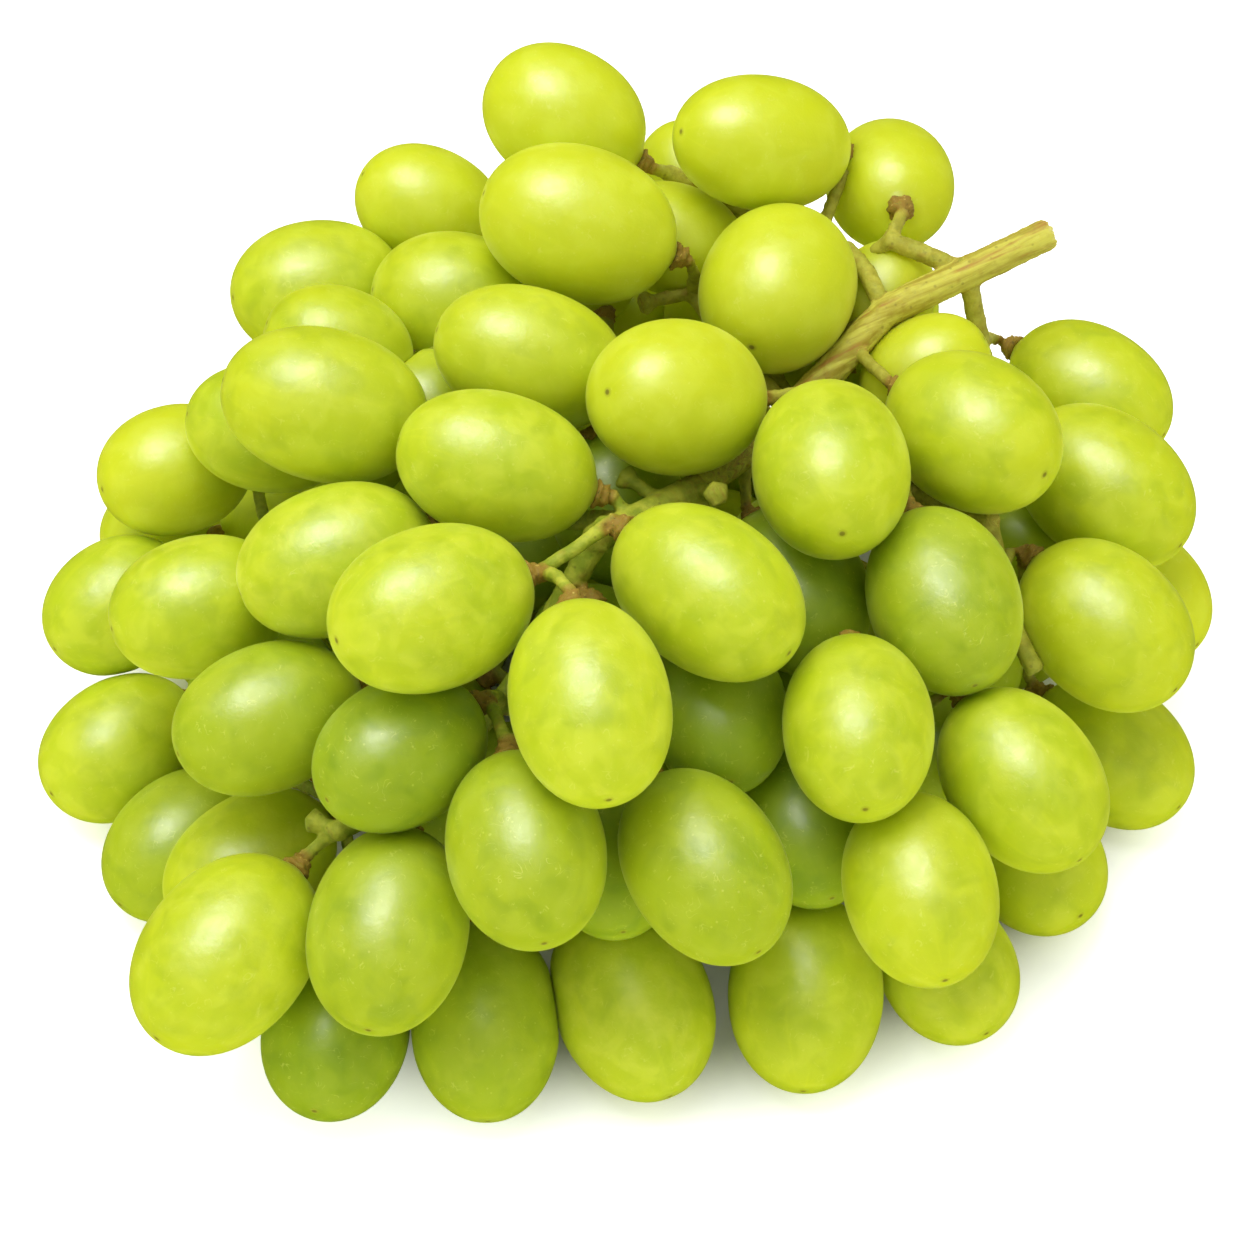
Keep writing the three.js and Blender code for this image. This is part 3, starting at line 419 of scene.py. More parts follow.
def add_floor():
    """A large square floor at height 0, which is not part of the bunch."""
    half = FLOOR_HALF
    corners = [(-half, -half, 0), (half, -half, 0), (half, half, 0), (-half, half, 0)]
    mesh = bpy.data.meshes.new("floor")
    mesh.from_pydata(corners, [], [(0, 1, 2, 3)])
    floor = bpy.data.objects.new("floor", mesh)
    mesh.materials.append(floor_paint())
    bpy.context.scene.collection.objects.link(floor)
    floor.visible_glossy = False


# ---------------------------------------------------------------- reading the CAD nodes

SAME_POINT = 0.002 * MM
SMALLEST_BERRY_SKIN = 60 * MM * MM
SMALLEST_FACE = 0.04 * MM * MM
SHORTEST_EDGE = 0.15 * MM
NO_AREA = 1e-15
FOLD = 0.04


def node_shape(node):
    """A node's points, each only once, and its triangles."""
    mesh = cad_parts[node].data
    mesh.calc_loop_triangles()
    points = np.empty(len(mesh.vertices) * 3)
    mesh.vertices.foreach_get("co", points)
    points = points.reshape(-1, 3)
    triangles = np.empty(len(mesh.loop_triangles) * 3, dtype=np.int64)
    mesh.loop_triangles.foreach_get("vertices", triangles)
    steps = np.round(points / SAME_POINT).astype(np.int64)
    _, first, same_as = np.unique(steps, axis=0, return_index=True, return_inverse=True)
    triangles = same_as.reshape(-1)[triangles].reshape(-1, 3)
    points = points[first]
    a, b, c = triangles.T
    return points, triangles[(a != b) & (b != c) & (c != a)]


def face_shapes(points, triangles):
    """The middle, the normal and the area of each triangle."""
    corners = points[triangles]
    normals = np.cross(corners[:, 1] - corners[:, 0], corners[:, 2] - corners[:, 0])
    areas = np.linalg.norm(normals, axis=1) / 2
    normals /= np.maximum(2 * areas, NO_AREA)[:, None]
    return corners.mean(axis=1), normals, areas


def faces_by_edge(triangles):
    """The faces at each edge, by the edge's two points."""
    found = {}
    for face, (a, b, c) in enumerate(triangles):
        for edge in ((a, b), (b, c), (c, a)):
            found.setdefault((min(edge), max(edge)), []).append(face)
    return found


def skins_of(points, triangles):
    """The triangles of each berry of a node: a berry's skin ends where the surface folds inwards."""
    middles, normals, areas = face_shapes(points, triangles)
    owner = np.arange(len(triangles))

    def root(face):
        while owner[face] != face:
            owner[face] = owner[owner[face]]
            face = owner[face]
        return face

    for (a, b), faces in faces_by_edge(triangles).items():
        if len(faces) != 2 or areas[faces].min() < SMALLEST_FACE:
            continue
        if np.linalg.norm(points[a] - points[b]) < SHORTEST_EDGE:
            continue
        one, other = faces
        across = middles[other] - middles[one]
        rise = max(across @ normals[one], -across @ normals[other])
        if rise < FOLD * np.linalg.norm(across):
            owner[root(one)] = root(other)
    roots = np.array([root(face) for face in range(len(triangles))])
    skins = []
    for name in np.unique(roots):
        chosen = roots == name
        if areas[chosen].sum() > SMALLEST_BERRY_SKIN:
            skins.append(triangles[chosen])
    return skins


# ---------------------------------------------------------------- fitting berries to their skins

SLENDERNESS = 1.26
START_WIDTH_MM = 18
FIT_STEPS = np.array([1, 1, 1, 100, 100, 100, 1, 1]) * MM
FIT_ROUNDS = 24
LOOSE_ROUNDS = 10
LOOSE_SPREAD = 0.05
TIGHT_SPREAD = 0.012
OUTER_SHARE = 0.8
SLENDERNESS_PULL = 1e-3
DAMPING = 1e-4


def ellipsoid_level(points, centre, axis, wide, long):
    """How far points are from an ellipsoid's centre: 1 on its skin."""
    offset = points - centre
    along = offset @ axis
    beside = np.maximum((offset**2).sum(axis=1) - along**2, 0)
    return np.sqrt(4 * beside / wide**2 + 4 * along**2 / long**2)


def level_slopes(points, centre, axis, wide, long, level):
    """How the level of points changes with the ellipsoid's centre, axis, width and length."""
    offset = points - centre
    along = (offset @ axis)[:, None]
    across = offset - along * axis
    by_centre = -8 * across / wide**2 - 8 * along * axis / long**2
    by_axis = 8 * along * across * (1 / long**2 - 1 / wide**2)
    by_wide = -8 * (across**2).sum(axis=1, keepdims=True) / wide**3
    by_long = -8 * along**2 / long**3
    return np.hstack([by_centre, by_axis, by_wide, by_long]) / (2 * level[:, None])


def refine(points, state, spread):
    """One damped least-squares step, in which points inside the skin (cut flats) count little."""
    centre, axis, wide, long = state[:3], state[3:6], state[6], state[7]
    level = ellipsoid_level(points, centre, axis, wide, long)
    misfit = level - 1
    top = np.quantile(misfit, OUTER_SHARE)
    weight = np.exp(-(((misfit - top) / spread) ** 2))
    unusual = SLENDERNESS - long / wide
    slopes = level_slopes(points, centre, axis, wide, long, level)
    slopes = np.vstack([slopes, [0, 0, 0, 0, 0, 0, long / wide**2, -1 / wide]])
    weights = np.append(weight, SLENDERNESS_PULL * len(points))
    scaled = slopes * FIT_STEPS
    system = scaled.T @ (scaled * weights[:, None])
    system += DAMPING * np.trace(system) / len(state) * np.eye(len(state))
    change = np.linalg.solve(system, -scaled.T @ (weights * np.append(misfit, unusual)))
    state = state + change * FIT_STEPS
    state[3:6] /= np.linalg.norm(state[3:6])
    return state, unusual**2 - weight.mean() + abs(top)


def fit_ellipsoid(points):
    """The ellipsoid of revolution on which the outermost points of a berry's skin lie."""
    middle = points.mean(axis=0)
    _, _, own_axes = np.linalg.svd(points - middle, full_matrices=False)
    corners = np.array([(1, 1, 1), (1, 1, -1), (1, -1, 1), (-1, 1, 1)]) / math.sqrt(3)
    start_size = [START_WIDTH_MM * MM, START_WIDTH_MM * SLENDERNESS * MM]
    best = None
    least = math.inf
    for start_axis in [*own_axes, *(corners @ own_axes)]:
        state = np.concatenate([middle, start_axis, start_size])
        for round_number in range(FIT_ROUNDS):
            spread = LOOSE_SPREAD if round_number < LOOSE_ROUNDS else TIGHT_SPREAD
            state, cost = refine(points, state, spread)
        if cost < least:
            least = cost
            best = state
    return best[:3], best[3:6], best[6], best[7]


# ---------------------------------------------------------------- where the berries are

INNER_SLENDERNESS = 1.15
LEAST_SLENDERNESS = 1.001
BALL_PLACES = np.array([-1, -0.5, 0, 0.5, 1])
INNER_MIDDLE = "inner_berry_middle"
INNER_LEFT = "inner_berry_left"


class Berry:
    """Where a berry is, which way its tip points, how large it is and which CAD node it is from."""

    def __init__(self, node, points, stem_points):
        centre, axis, wide, long = fit_ellipsoid(points)
        ends = [centre + side * axis * long / 2 for side in (1, -1)]
        gaps = [np.linalg.norm(stem_points - end, axis=1).min() for end in ends]
        if gaps[0] < gaps[1]:
            axis = -axis
        self.node = node
        self.centre = centre
        self.axis = axis
        self.wide = wide
        self.long = long
        self.stem_end = centre - axis * long / 2

    @classmethod
    def at(cls, name, centre, tip, wide):
        """A berry under a name of its own, which no CAD node has, from millimetres."""
        berry = cls.__new__(cls)
        berry.node = name
        berry.centre = np.array(centre) * MM
        berry.axis = np.array(tip) / np.linalg.norm(tip)
        berry.wide = wide * MM
        berry.long = INNER_SLENDERNESS * wide * MM
        berry.stem_end = berry.centre - berry.axis * berry.long / 2
        return berry

    def reach(self, direction):
        """How far the berry reaches from its centre in a direction."""
        b = self.wide / 2
        a = self.long / 2
        return math.sqrt(b * b + (a * a - b * b) * float(direction @ self.axis) ** 2)

    def balls(self):
        """Centres and radii of balls that fill the berry."""
        b = self.wide / 2
        a = max(self.long / 2, LEAST_SLENDERNESS * b)
        room = a * a - b * b
        offsets = BALL_PLACES * room / a
        radii = b * np.sqrt(1 - offsets**2 / room)
        return self.centre + offsets[:, None] * self.axis, radii


def gap_between(first, second):
    """The direction from one berry to the other between their nearest balls, and the gap that way."""
    centres, radii = first.balls()
    others, other_radii = second.balls()
    between = others[None] - centres[:, None]
    gaps = np.linalg.norm(between, axis=2) - radii[:, None] - other_radii[None]
    one, other = np.unravel_index(gaps.argmin(), gaps.shape)
    direction = between[one, other] / np.linalg.norm(between[one, other])
    apart = float(direction @ (second.centre - first.centre))
    return direction, apart - first.reach(direction) - second.reach(direction)


def inner_berries():
    """Two berries deep inside, where one would otherwise see through the bunch."""
    behind_fork = Berry.at(INNER_MIDDLE, (-1.5, 5.0, 43.5), (0.3, -0.5, -0.8), 19.5)
    left_pocket = Berry.at(INNER_LEFT, (-70.5, 26.5, 13.5), (-0.8, 0.3, -0.3), 16.5)
    return [behind_fork, left_pocket]


def read_berries():
    """The berries of all CAD nodes, node by node."""
    stem_points, _ = node_shape(STEM_NODE)
    berries = []
    for node in sorted(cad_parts):
        if node == STEM_NODE:
            continue
        points, triangles = node_shape(node)
        for skin in skins_of(points, triangles):
            berries.append(Berry(node, points[np.unique(skin)], stem_points))
    return berries


# ---------------------------------------------------------------- the shape of a berry

FINE_SIDES = 60
FINE_RINGS = 40
HIDDEN_SIDES = 44
HIDDEN_RINGS = 30
END_RINGS_MM = (0.3, 0.55, 0.85, 1.2, 1.7, 2.4)
FULLNESS = 2.07
UNEVENNESS = 0.011
LUMP_SHARE = 0.75
LUMP_SEEDS = (7.31, 3.17, 5.03)
PRESSED_GAP = 0.06 * MM
PRESS_SOFTNESS = 0.12 * MM
FLOOR_SOFTNESS = 0.5 * PRESS_SOFTNESS
NEIGHBOUR_REACH = 32 * MM
NEIGHBOUR_GAP = 0.9 * MM
COLLAR_RADIUS = 2.0 * MM
COLLAR_RISE = 0.34 * MM
SCAR_RADIUS = 0.55 * MM
DIMPLE_WIDTH = 1.9
DIMPLE_DEPTH_MM = 0.22
BUTTON_WIDTH = 0.75
BUTTON_HEIGHT_MM = 0.16
PATTERN_STEP = 40
PATTERN_ROW = 7
VEINS_AROUND = 6
VEINS_ALONG = 1.1
VEIN_STEP = 9.7


def soft_limit(values, limit, softness):
    """Values that are held below a limit, and bend into it instead of meeting it at an edge."""
    return values - softness * np.logaddexp(0, (values - limit) / softness)


def side_directions(axis):
    """Two directions across an axis."""
    helper = np.array([0.0, 0.0, 1.0]) if abs(axis[2]) < 0.9 else np.array([1.0, 0.0, 0.0])
    across = np.cross(axis, helper)
    across /= np.linalg.norm(across)
    return across, np.cross(axis, across)


def ring_turns(berry, rings):
    """The latitudes of a berry's rings, closer together at its two ends."""
    turns = list(np.linspace(-math.pi / 2, math.pi / 2, rings)[2:-2])
    for radius in END_RINGS_MM:
        turn = math.acos(min(1.0, radius * MM / (berry.wide / 2)))
        turns += [turn, -turn]
    return sorted(turns)


def point_angles(turns, sides):
    """The latitude of each of a berry's points and its angle around the axis, from tip to stem end."""
    angles = np.arange(sides) * 2 * math.pi / sides
    turn, angle = np.meshgrid(turns, angles, indexing="ij")
    turn = np.concatenate([[-math.pi / 2], turn.ravel(), [math.pi / 2]])
    angle = np.concatenate([[0.0], angle.ravel(), [0.0]])
    return turn, angle


def add_relief(local, berry, number, off_axis, turn):
    """Shifts a berry's points: unevenness, a collar at the stem end and a scar at the tip."""
    seed = Vector((LUMP_SEEDS[0] * number, LUMP_SEEDS[1] * number, LUMP_SEEDS[2]))
    lumps = np.array([noise.noise(Vector(p / (berry.wide * LUMP_SHARE)) + seed) for p in local])
    local *= (1 + UNEVENNESS * lumps)[:, None]
    collar = np.exp(-((off_axis / COLLAR_RADIUS) ** 6)) * (turn > 0)
    local -= (COLLAR_RISE * collar)[:, None] * berry.axis
    dimple = np.exp(-((off_axis / (DIMPLE_WIDTH * SCAR_RADIUS)) ** 2)) * (turn < 0)
    button = np.exp(-((off_axis / (BUTTON_WIDTH * SCAR_RADIUS)) ** 4)) * (turn < 0)
    local -= (MM * (DIMPLE_DEPTH_MM * dimple - BUTTON_HEIGHT_MM * button))[:, None] * berry.axis


def pressed(local, berry, neighbours):
    """A berry's points in the bunch, held back where it meets its neighbours or the floor."""
    points = berry.centre + local
    for other in neighbours:
        direction, gap = gap_between(berry, other)
        limit = berry.reach(direction) + (gap - PRESSED_GAP) / 2
        height = local @ direction
        points += (soft_limit(height, limit, PRESS_SOFTNESS) - height)[:, None] * direction
    points[:, 2] = -soft_limit(-points[:, 2], 0.0, FLOOR_SOFTNESS)
    return points


def pattern_place(number):
    """Where a berry lies in the skin's pattern, so that no two berries look the same."""
    layer = PATTERN_ROW * PATTERN_ROW
    row = (number // PATTERN_ROW) % PATTERN_ROW
    return PATTERN_STEP * np.array([number % PATTERN_ROW, row, number // layer])


def berry_surface(berry, number, neighbours, sides, rings):
    """Points and faces of a berry in its own place, and what its skin shader needs to know."""
    across, up = side_directions(berry.axis)
    turns = np.array(ring_turns(berry, rings))
    turn, angle = point_angles(turns, sides)
    power = 2 / FULLNESS
    off_axis = berry.wide / 2 * np.abs(np.cos(turn)) ** power
    along = np.sign(np.sin(turn)) * np.abs(np.sin(turn)) ** power
    radial = np.cos(angle)[:, None] * across + np.sin(angle)[:, None] * up
    local = off_axis[:, None] * radial - (berry.long / 2 * along)[:, None] * berry.axis
    add_relief(local, berry, number, off_axis, turn)
    around = [VEINS_AROUND * np.cos(angle), VEINS_AROUND * np.sin(angle)]
    attributes = {
        "skin_place": local / MM + pattern_place(number),
        "vein_place": np.stack([*around, VEINS_ALONG * along + VEIN_STEP * number], axis=1),
        "along": np.sin(turn),
    }
    return pressed(local, berry, neighbours), berry_faces(len(turns), sides), attributes


def berry_faces(rings, sides):
    """Quads between the rings, and triangles at the two ends. Point 0 is the tip."""
    faces = []
    last = 1 + rings * sides
    for side in range(sides):
        following = (side + 1) % sides
        faces.append((0, 1 + side, 1 + following))
        for ring in range(rings - 1):
            low = 1 + ring * sides
            high = low + sides
            faces.append((low + side, high + side, high + following, low + following))
        top = 1 + (rings - 1) * sides
        faces.append((last, top + following, top + side))
    return faces


def neighbours_of(berry, berries):
    """The other berries that touch a berry or nearly do."""
    return [
        other
        for other in berries
        if other is not berry
        and np.linalg.norm(other.centre - berry.centre) < NEIGHBOUR_REACH
        and gap_between(berry, other)[1] < NEIGHBOUR_GAP
    ]


# ---------------------------------------------------------------- the tone of a berry, and its painted light and shade

# Painted light: these berries, mostly at the top and left of the bunch, get a lighter, yellower skin
# with no dark clouds, as if more brightly lit.
PAINTED_LIGHT_BERRIES = (
    "berry_crown_left",
    "berry_crown_middle",
    "berry_crown_right",
    "berry_top_1",
    "berry_top_2",
    "berry_top_3",
    "berry_left_2",
    "berry_upper_left_1",
    "berry_right_5",
    "berries_heart_6",
    "berries_back_middle_2",
)
# Deepest painted shade: berries deep inside, under and behind others, and the middle inner berry, get
# a much darker deep green skin; part of it is their own deeper green.
DEEP_GREEN_AND_PAINTED_SHADE = (
    "berry_left_9",
    "berry_floor_7",
    "berries_heart_4",
    "berries_heart_5",
    "berries_heart_8",
    INNER_MIDDLE,
)
# Painted shade: berries under, behind and beneath others get a darker green skin; part of it is their
# own greener tone.
GREENER_AND_PAINTED_SHADE = (
    "berry_right_6",
    "berry_left_8",
    "berry_front_5",
    "berry_front_6",
    "berry_front_7",
    "berry_left_10",
    "berry_floor_6",
    "berries_heart_7",
    "berries_underside_1",
    "berries_underside_2",
)
WAXY = ("berry_right_6", "berry_floor_5", "berry_floor_3", "berry_upper_left_1", "berry_left_4")

# Ripeness and depth for painted light, and the depth of painted shade.
PAINTED_LIGHT_RIPENESS = 1.0
PAINTED_LIGHT_DEPTH = -0.2
SOME_PAINTED_SHADE_DEPTH = 0.35
DEEP_PAINTED_SHADE_DEPTH = 0.6
WAXY_EXTRA = 0.3
NUMBER_STEP = 12.9898
SALT_STEP = 78.233


def variation(number, salt):
    """A number from 0 to 1 that differs from berry to berry."""
    return 0.5 + 0.5 * math.sin(NUMBER_STEP * number + SALT_STEP * salt)


def berry_tone(node, number):
    """How yellow, deep green and waxy a berry is, with painted light on the brightest berries and
    painted shade on those inside and under others. A depth below 0 keeps dark clouds off it.
    """
    ripeness_and_painted_light = 0.4 + 0.4 * variation(number, 1)
    depth = 0.08 * variation(number, 3)
    # Painted light: full ripeness, and no dark clouds.
    if node in PAINTED_LIGHT_BERRIES:
        ripeness_and_painted_light = PAINTED_LIGHT_RIPENESS
        depth = PAINTED_LIGHT_DEPTH
    waxiness = 0.04 + 0.12 * variation(number, 2)
    # Painted shade: more depth makes the skin darker and deeper green.
    if node in GREENER_AND_PAINTED_SHADE:
        depth += SOME_PAINTED_SHADE_DEPTH
    if node in DEEP_GREEN_AND_PAINTED_SHADE:
        depth += DEEP_PAINTED_SHADE_DEPTH
    if node in WAXY:
        waxiness += WAXY_EXTRA
    return {"ripeness_and_painted_light": ripeness_and_painted_light, "depth": depth, "waxiness": waxiness}


# ---------------------------------------------------------------- pieces


def add_attributes(mesh, values):
    """Stores a number or a place for each point of a mesh, for its shader to read."""
    for name, data in values.items():
        data = np.asarray(data, dtype=np.float32)
        kind = "FLOAT" if data.ndim == 1 else "FLOAT_VECTOR"
        attribute = mesh.attributes.new(name, kind, "POINT")
        attribute.data.foreach_set("value" if data.ndim == 1 else "vector", data.ravel())


def dress(mesh, attributes, material):
    """Gives a mesh what its shader reads, its one material and smooth shading."""
    add_attributes(mesh, attributes)
    mesh.materials.clear()
    mesh.materials.append(material)
    mesh.shade_smooth()


def add_item(name, mesh):
    """An object in the scene that shows a mesh."""
    item = bpy.data.objects.new(name, mesh)
    bpy.context.scene.collection.objects.link(item)
    return item


def mesh_of(name, points, faces):
    mesh = bpy.data.meshes.new(name)
    mesh.from_pydata([tuple(p) for p in points], [], faces)
    return mesh


def stack(surfaces):
    """Several closed surfaces as the points, faces and attributes of one piece."""
    points = np.concatenate([surface[0] for surface in surfaces])
    faces = []
    start = 0
    for own_points, own_faces, _ in surfaces:
        faces += [tuple(start + corner for corner in face) for face in own_faces]
        start += len(own_points)
    names = surfaces[0][2]
    attributes = {n: np.concatenate([surface[2][n] for surface in surfaces]) for n in names}
    return points, faces, attributes


def toned_surface(berry, number, berries, sides, rings):
    """A berry's surface with its tone at every point."""
    neighbours = neighbours_of(berry, berries)
    points, faces, attributes = berry_surface(berry, number, neighbours, sides, rings)
    for name, value in berry_tone(berry.node, number).items():
        attributes[name] = np.full(len(points), value)
    return points, faces, attributes


def add_berries(berries, material):
    """One piece for each CAD node of berries, and one for each inner berry, which has no CAD node."""
    numbers = {id(berry): number for number, berry in enumerate(berries)}
    for node in sorted({berry.node for berry in berries}):
        members = [berry for berry in berries if berry.node == node]
        alone = len(members) == 1
        sides, rings = (FINE_SIDES, FINE_RINGS) if alone else (HIDDEN_SIDES, HIDDEN_RINGS)
        surfaces = [toned_surface(b, numbers[id(b)], berries, sides, rings) for b in members]
        points, faces, attributes = stack(surfaces)
        mesh = mesh_of(node + "_skin", points, faces)
        mesh.validate()
        dress(mesh, attributes, material)
        piece = add_item(node + "_skin", mesh)
        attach(piece, "root")
        if node not in (INNER_MIDDLE, INNER_LEFT):
            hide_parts(node)


# ---------------------------------------------------------------- the rounded stem

VOXEL = 0.42 * MM
RELAX_SHARE = 0.5
RELAX_ROUNDS = 5
COLLAR_SIDES = 14
COLLAR_SECTIONS_MM = ((-1.1, 1.75), (-0.35, 2.0), (0.12, 1.7))


def collar_rod(berry):
    """A short rod that carries a pedicel's receptacle onto its berry."""
    across, up = side_directions(berry.axis)
    sides = COLLAR_SIDES
    points = []
    for offset, radius in COLLAR_SECTIONS_MM:
        middle = berry.stem_end + offset * MM * berry.axis
        for side in range(sides):
            turn = 2 * math.pi * side / sides
            points.append(middle + radius * MM * (math.cos(turn) * across + math.sin(turn) * up))
    faces = [tuple(reversed(range(sides))), tuple(range(2 * sides, 3 * sides))]
    for start in (0, sides):
        for side in range(sides):
            low = start + side
            next_low = start + (side + 1) % sides
            faces.append((low, next_low, next_low + sides, low + sides))
    return np.array(points), faces, {}


def smooth_stem(berries):
    """The CAD stem and the collars as one rounded skin of small quads."""
    points, triangles = node_shape(STEM_NODE)
    bare = (points, [tuple(t) for t in triangles], {})
    points, faces, _ = stack([bare] + [collar_rod(berry) for berry in berries])
    item = add_item("stem_blank", mesh_of("stem_blank", points, faces))
    remesh = item.modifiers.new("remesh", "REMESH")
    remesh.mode = "VOXEL"
    remesh.voxel_size = VOXEL
    relax = item.modifiers.new("relax", "SMOOTH")
    relax.factor = RELAX_SHARE
    relax.iterations = RELAX_ROUNDS
    graph = bpy.context.evaluated_depsgraph_get()
    mesh = bpy.data.meshes.new_from_object(item.evaluated_get(graph))
    bpy.data.objects.remove(item)
    return mesh


def mesh_arrays(mesh):
    """A mesh's points and the normals there."""
    points = np.empty(len(mesh.vertices) * 3)
    mesh.vertices.foreach_get("co", points)
    normals = np.empty(len(mesh.vertices) * 3)
    mesh.vertices.foreach_get("normal", normals)
    return points.reshape(-1, 3), normals.reshape(-1, 3)


# ---------------------------------------------------------------- where the bark's points lie

USUAL_THICKNESS_MM = 1.9
RAY_START = 0.02 * MM
RAY_LENGTH = 12 * MM
STEM_OUTWARD = np.array([0.8, 0.35, 0.45])
CUT_TIP_LENGTH = 2.5 * MM
CUT_AXIS_LENGTH = 9 * MM
CUT_RADIUS_MM = 4.5


def rise(values, start, width):
    """0 up to a start, 1 from a width beyond it, and an even slope between."""
    return np.clip((values - start) / width, 0, 1)


def fall(values, end, width):
    """1 up to a width before an end, 0 beyond the end, and an even slope between."""
    return np.clip((end - values) / width, 0, 1)


def thickness_of(points, normals, mesh):
    """How thick the branch is at each point, in millimetres."""
    tree = BVHTree.FromPolygons([v.co for v in mesh.vertices], [p.vertices for p in mesh.polygons])
    thickness = np.full(len(points), USUAL_THICKNESS_MM)
    for i, (point, normal) in enumerate(zip(points, normals)):
        inward = Vector(-normal)
        start = Vector(point) + RAY_START * inward
        place, _, _, distance = tree.ray_cast(start, inward, RAY_LENGTH)
        if place is not None:
            thickness[i] = distance / MM
    return thickness


def berry_end_places(points, berries):
    """Where points lie above the nearest berry's stem end, and how far from its axis, in mm."""
    tree = KDTree(len(berries))
    for i, berry in enumerate(berries):
        tree.insert(Vector(berry.stem_end), i)
    tree.balance()
    nearest = np.array([tree.find(Vector(point))[1] for point in points])
    ends = np.array([berry.stem_end for berry in berries])[nearest]
    axes = np.array([berry.axis for berry in berries])[nearest]
    height = -((points - ends) * axes).sum(axis=1)
    beside = np.linalg.norm(points - ends + height[:, None] * axes, axis=1)
    return height / MM, beside / MM


def cut_end_of(points):
    """The middle of the stem's cut end, and the direction in which the stem ends there."""
    far = points @ STEM_OUTWARD
    tip = points[far > far.max() - CUT_TIP_LENGTH].mean(axis=0)
    near = points[np.linalg.norm(points - tip, axis=1) < CUT_AXIS_LENGTH]
    _, _, directions = np.linalg.svd(near - near.mean(axis=0), full_matrices=False)
    direction = directions[0]
    if direction @ STEM_OUTWARD < 0:
        direction = -direction
    return tip, direction


def near_cut(points, tip, direction, depth):
    """Which points lie at the stem's cut end, down to a depth in millimetres."""
    along = (points - tip) @ direction
    beside = np.linalg.norm(points - tip - np.outer(along, direction), axis=1)
    return (beside / MM < CUT_RADIUS_MM) & (along / MM > -depth)


# ---------------------------------------------------------------- the bark's relief

ROUNDING = 0.13 * MM
COARSE_HEIGHT = 0.09 * MM
FINE_HEIGHT = 0.045 * MM
WART_HEIGHT = 0.3 * MM
WART_THRESHOLD = 0.32
WART_GAIN = 2.2
PLAIN_WART_SHARE = 0.5
RIM_TOP_MM = 3.4
RIM_SLOPE_MM = 1.2
RIM_RADIUS_MM = 3.4
RIM_EDGE_MM = 1.0
RING_SPACING_MM = 1.15
RING_START_MM = 0.5
RING_WOBBLE_MM = 0.25
RING_HEIGHT_MM = 0.2
CRUMB_HEIGHT_MM = 0.34
RIM_SINK_MM = 0.08
RIDGE_HEIGHT_MM = 0.02
STOUT_RIDGE_MM = 0.05
WOODY_LENGTH = 75 * MM
WOODY_FADE = 20 * MM
STOUT_MM = 3.0
STOUT_FADE_MM = 0.8
NODE_MM = 3.2
NODE_FADE_MM = 2.5
NODE_LIMIT_MM = 7.5
RUST_EVERYWHERE = 0.08
NODE_RUST = 0.3
THIN_BRANCH_RUST = 0.22
OLD_WOODINESS = 0.4
STOUT_WOODINESS = 0.6
GRAIN_STRETCH = 0.9
CUT_STRETCH = 0.8
RAGGED_DEPTH_MM = 1.2
RAGGED_HEIGHT = 0.45 * MM
FLESH_DEPTH_MM = 1.6
FLESH_FACING = 0.45
FLESH_FACING_FADE = 0.3
CLEAR_LEVEL = 1.004
LEAST_LEVEL = 0.5
CLEAR_MARGIN = 1 * MM
COLLAR_ROOM = 1.2
SEED_SPREAD = 2.3
NOISE_FALLOFF = 0.9
NOISE_LACUNARITY = 2.0


def noise_at(points, scale, seed, octaves=3):
    """Fractal noise between about -1 and 1 at points, with its scale in millimetres."""
    offset = Vector((seed, SEED_SPREAD * seed, -seed))
    settings = (NOISE_FALLOFF, NOISE_LACUNARITY, octaves)
    places = points / (scale * MM)
    return np.array([noise.fractal(Vector(p) + offset, *settings) for p in places])


def rust_of(rim, thickness, old, stout):
    """How rusty the bark is: most at the receptacles, some at nodes and on thin old branches."""
    wide_node = rise(thickness, NODE_MM, NODE_FADE_MM) * (thickness < NODE_LIMIT_MM)
    rust = RUST_EVERYWHERE + rim + NODE_RUST * wide_node + THIN_BRANCH_RUST * (old - stout)
    return np.clip(rust, 0, 1)


def swelling_of(points, grain, height, rim, warts, stout):
    """How far the bark stands out from the rounded stem."""
    coarse = noise_at(points, scale=2.2, seed=3.0)
    fine = noise_at(points, scale=0.8, seed=11.0)
    ridges = noise_at(grain, scale=0.9, seed=17.0, octaves=2)
    ring_place = (height - RING_START_MM + RING_WOBBLE_MM * coarse) / RING_SPACING_MM
    rings = np.cos(2 * math.pi * ring_place)
    swelling = ROUNDING + COARSE_HEIGHT * coarse + FINE_HEIGHT * fine
    swelling += WART_HEIGHT * warts * (PLAIN_WART_SHARE + rim)
    swelling += MM * rim * (RING_HEIGHT_MM * rings + CRUMB_HEIGHT_MM * fine - RIM_SINK_MM)
    swelling += (RIDGE_HEIGHT_MM + STOUT_RIDGE_MM * stout) * MM * ridges
    return swelling


def clear_of_berries(points, berries):
    """Points pushed out of the berries, to just off their skin, except under the collars."""
    for berry in berries:
        near = np.linalg.norm(points - berry.centre, axis=1) < berry.long / 2 + CLEAR_MARGIN
        if not near.any():
            continue
        close = points[near]
        level = ellipsoid_level(close, berry.centre, berry.axis, berry.wide, berry.long)
        on_axis = np.linalg.norm(close - berry.stem_end, axis=1) < COLLAR_ROOM * COLLAR_RADIUS
        outward = CLEAR_LEVEL / np.maximum(level, LEAST_LEVEL)
        factor = np.where((level < CLEAR_LEVEL) & ~on_axis, outward, 1.0)
        points[near] = berry.centre + (close - berry.centre) * factor[:, None]
    return points


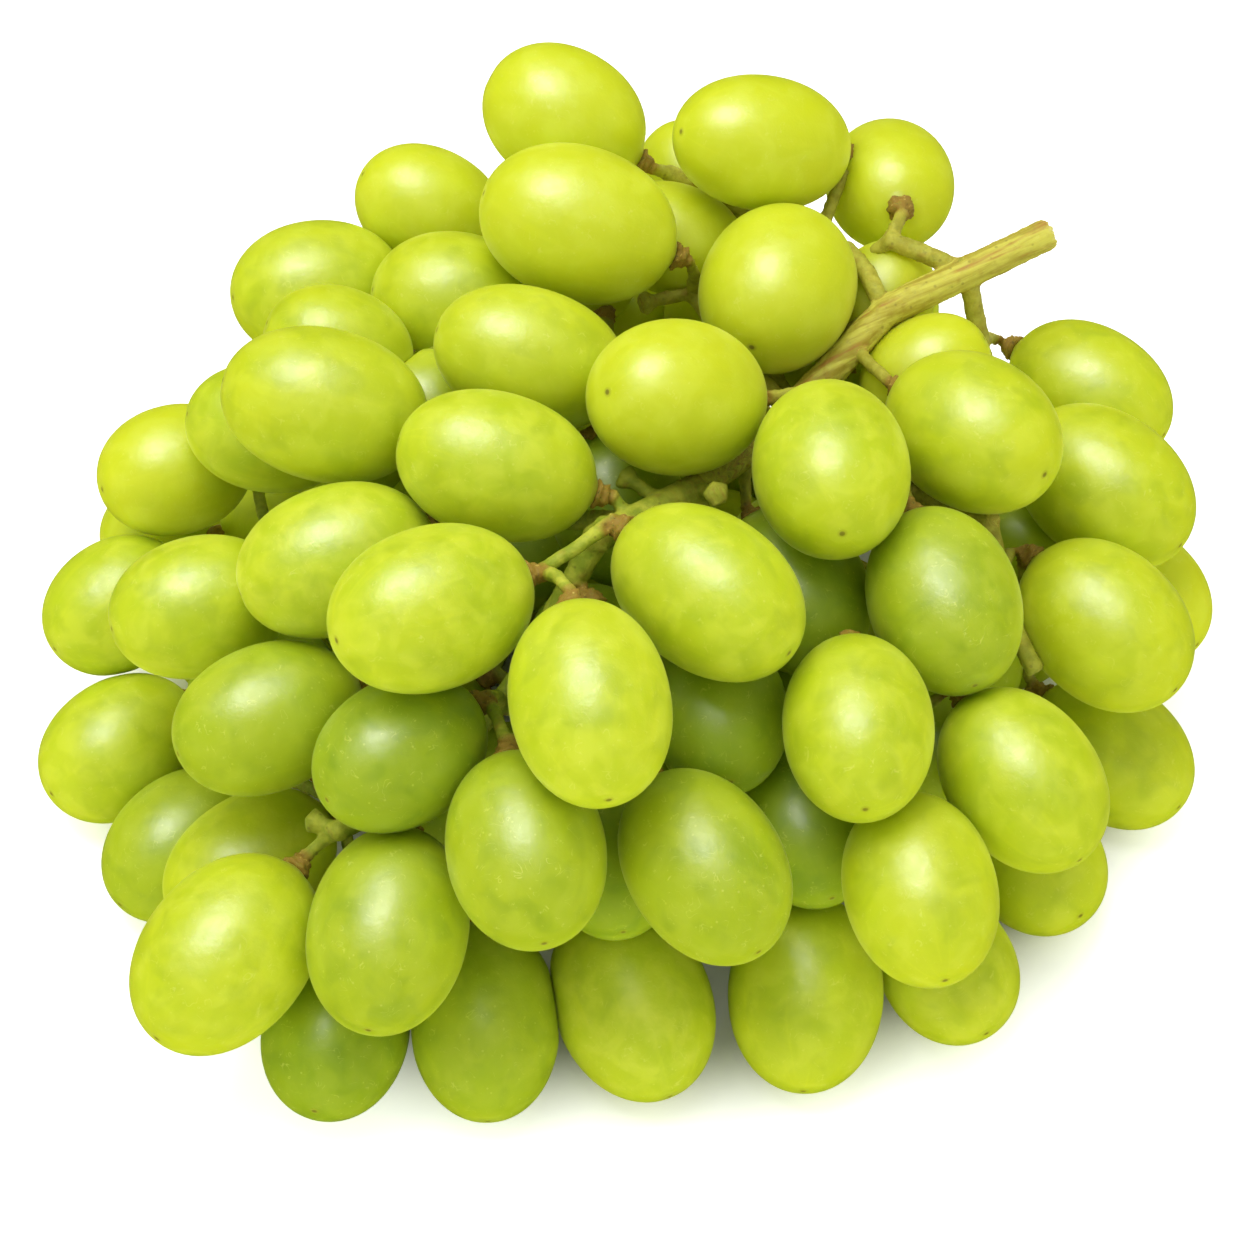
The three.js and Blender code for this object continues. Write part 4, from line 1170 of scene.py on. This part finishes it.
def add_stem(berries, material):
    """The rounded stem with its bark, as one piece."""
    mesh = smooth_stem(berries)
    points, normals = mesh_arrays(mesh)
    thickness = thickness_of(points, normals, mesh)
    height, off_axis = berry_end_places(points, berries)
    tip, direction = cut_end_of(points)

    rim = fall(height, RIM_TOP_MM, RIM_SLOPE_MM) * fall(off_axis, RIM_RADIUS_MM, RIM_EDGE_MM)
    old = fall(np.linalg.norm(points - tip, axis=1), WOODY_LENGTH, WOODY_FADE)
    stout = old * rise(thickness, STOUT_MM, STOUT_FADE_MM)
    warts = np.clip(noise_at(points, scale=1.1, seed=29.0, octaves=1) - WART_THRESHOLD, 0, 1)
    warts = WART_GAIN * warts
    along = (points - tip) @ direction
    grain = points - GRAIN_STRETCH * np.outer(stout * along, direction)
    facing_out = rise(normals @ direction, FLESH_FACING, FLESH_FACING_FADE)
    flesh = facing_out * near_cut(points, tip, direction, FLESH_DEPTH_MM)
    is_ragged = near_cut(points, tip, direction, RAGGED_DEPTH_MM)

    points = points + swelling_of(points, grain, height, rim, warts, stout)[:, None] * normals
    fibres = points - CUT_STRETCH * np.outer(along, direction)
    ragged = noise_at(fibres, scale=0.55, seed=41.0, octaves=2)
    push = np.where(is_ragged, RAGGED_HEIGHT * ragged, 0.0)
    points = points + push[:, None] * direction
    points = clear_of_berries(points, berries)

    mesh.vertices.foreach_set("co", points.astype(np.float32).ravel())
    mesh.update()
    attributes = {
        "bark_place": points / MM,
        "grain_place": grain / MM,
        "rustiness": rust_of(rim, thickness, old, stout),
        "wart": np.clip(warts, 0, 1),
        "cut_end": flesh,
        "woodiness": OLD_WOODINESS * old + STOUT_WOODINESS * stout,
        "ribbed": stout,
    }
    dress(mesh, attributes, material)
    piece = add_item("stem_bark", mesh)
    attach(piece, "root")
    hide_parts(STEM_NODE)


# ---------------------------------------------------------------- the whole scene

add_camera()
add_softbox()
add_surround()
add_floor()
all_berries = read_berries() + inner_berries()
add_berries(all_berries, grape_skin())
add_stem(all_berries, stem_bark())
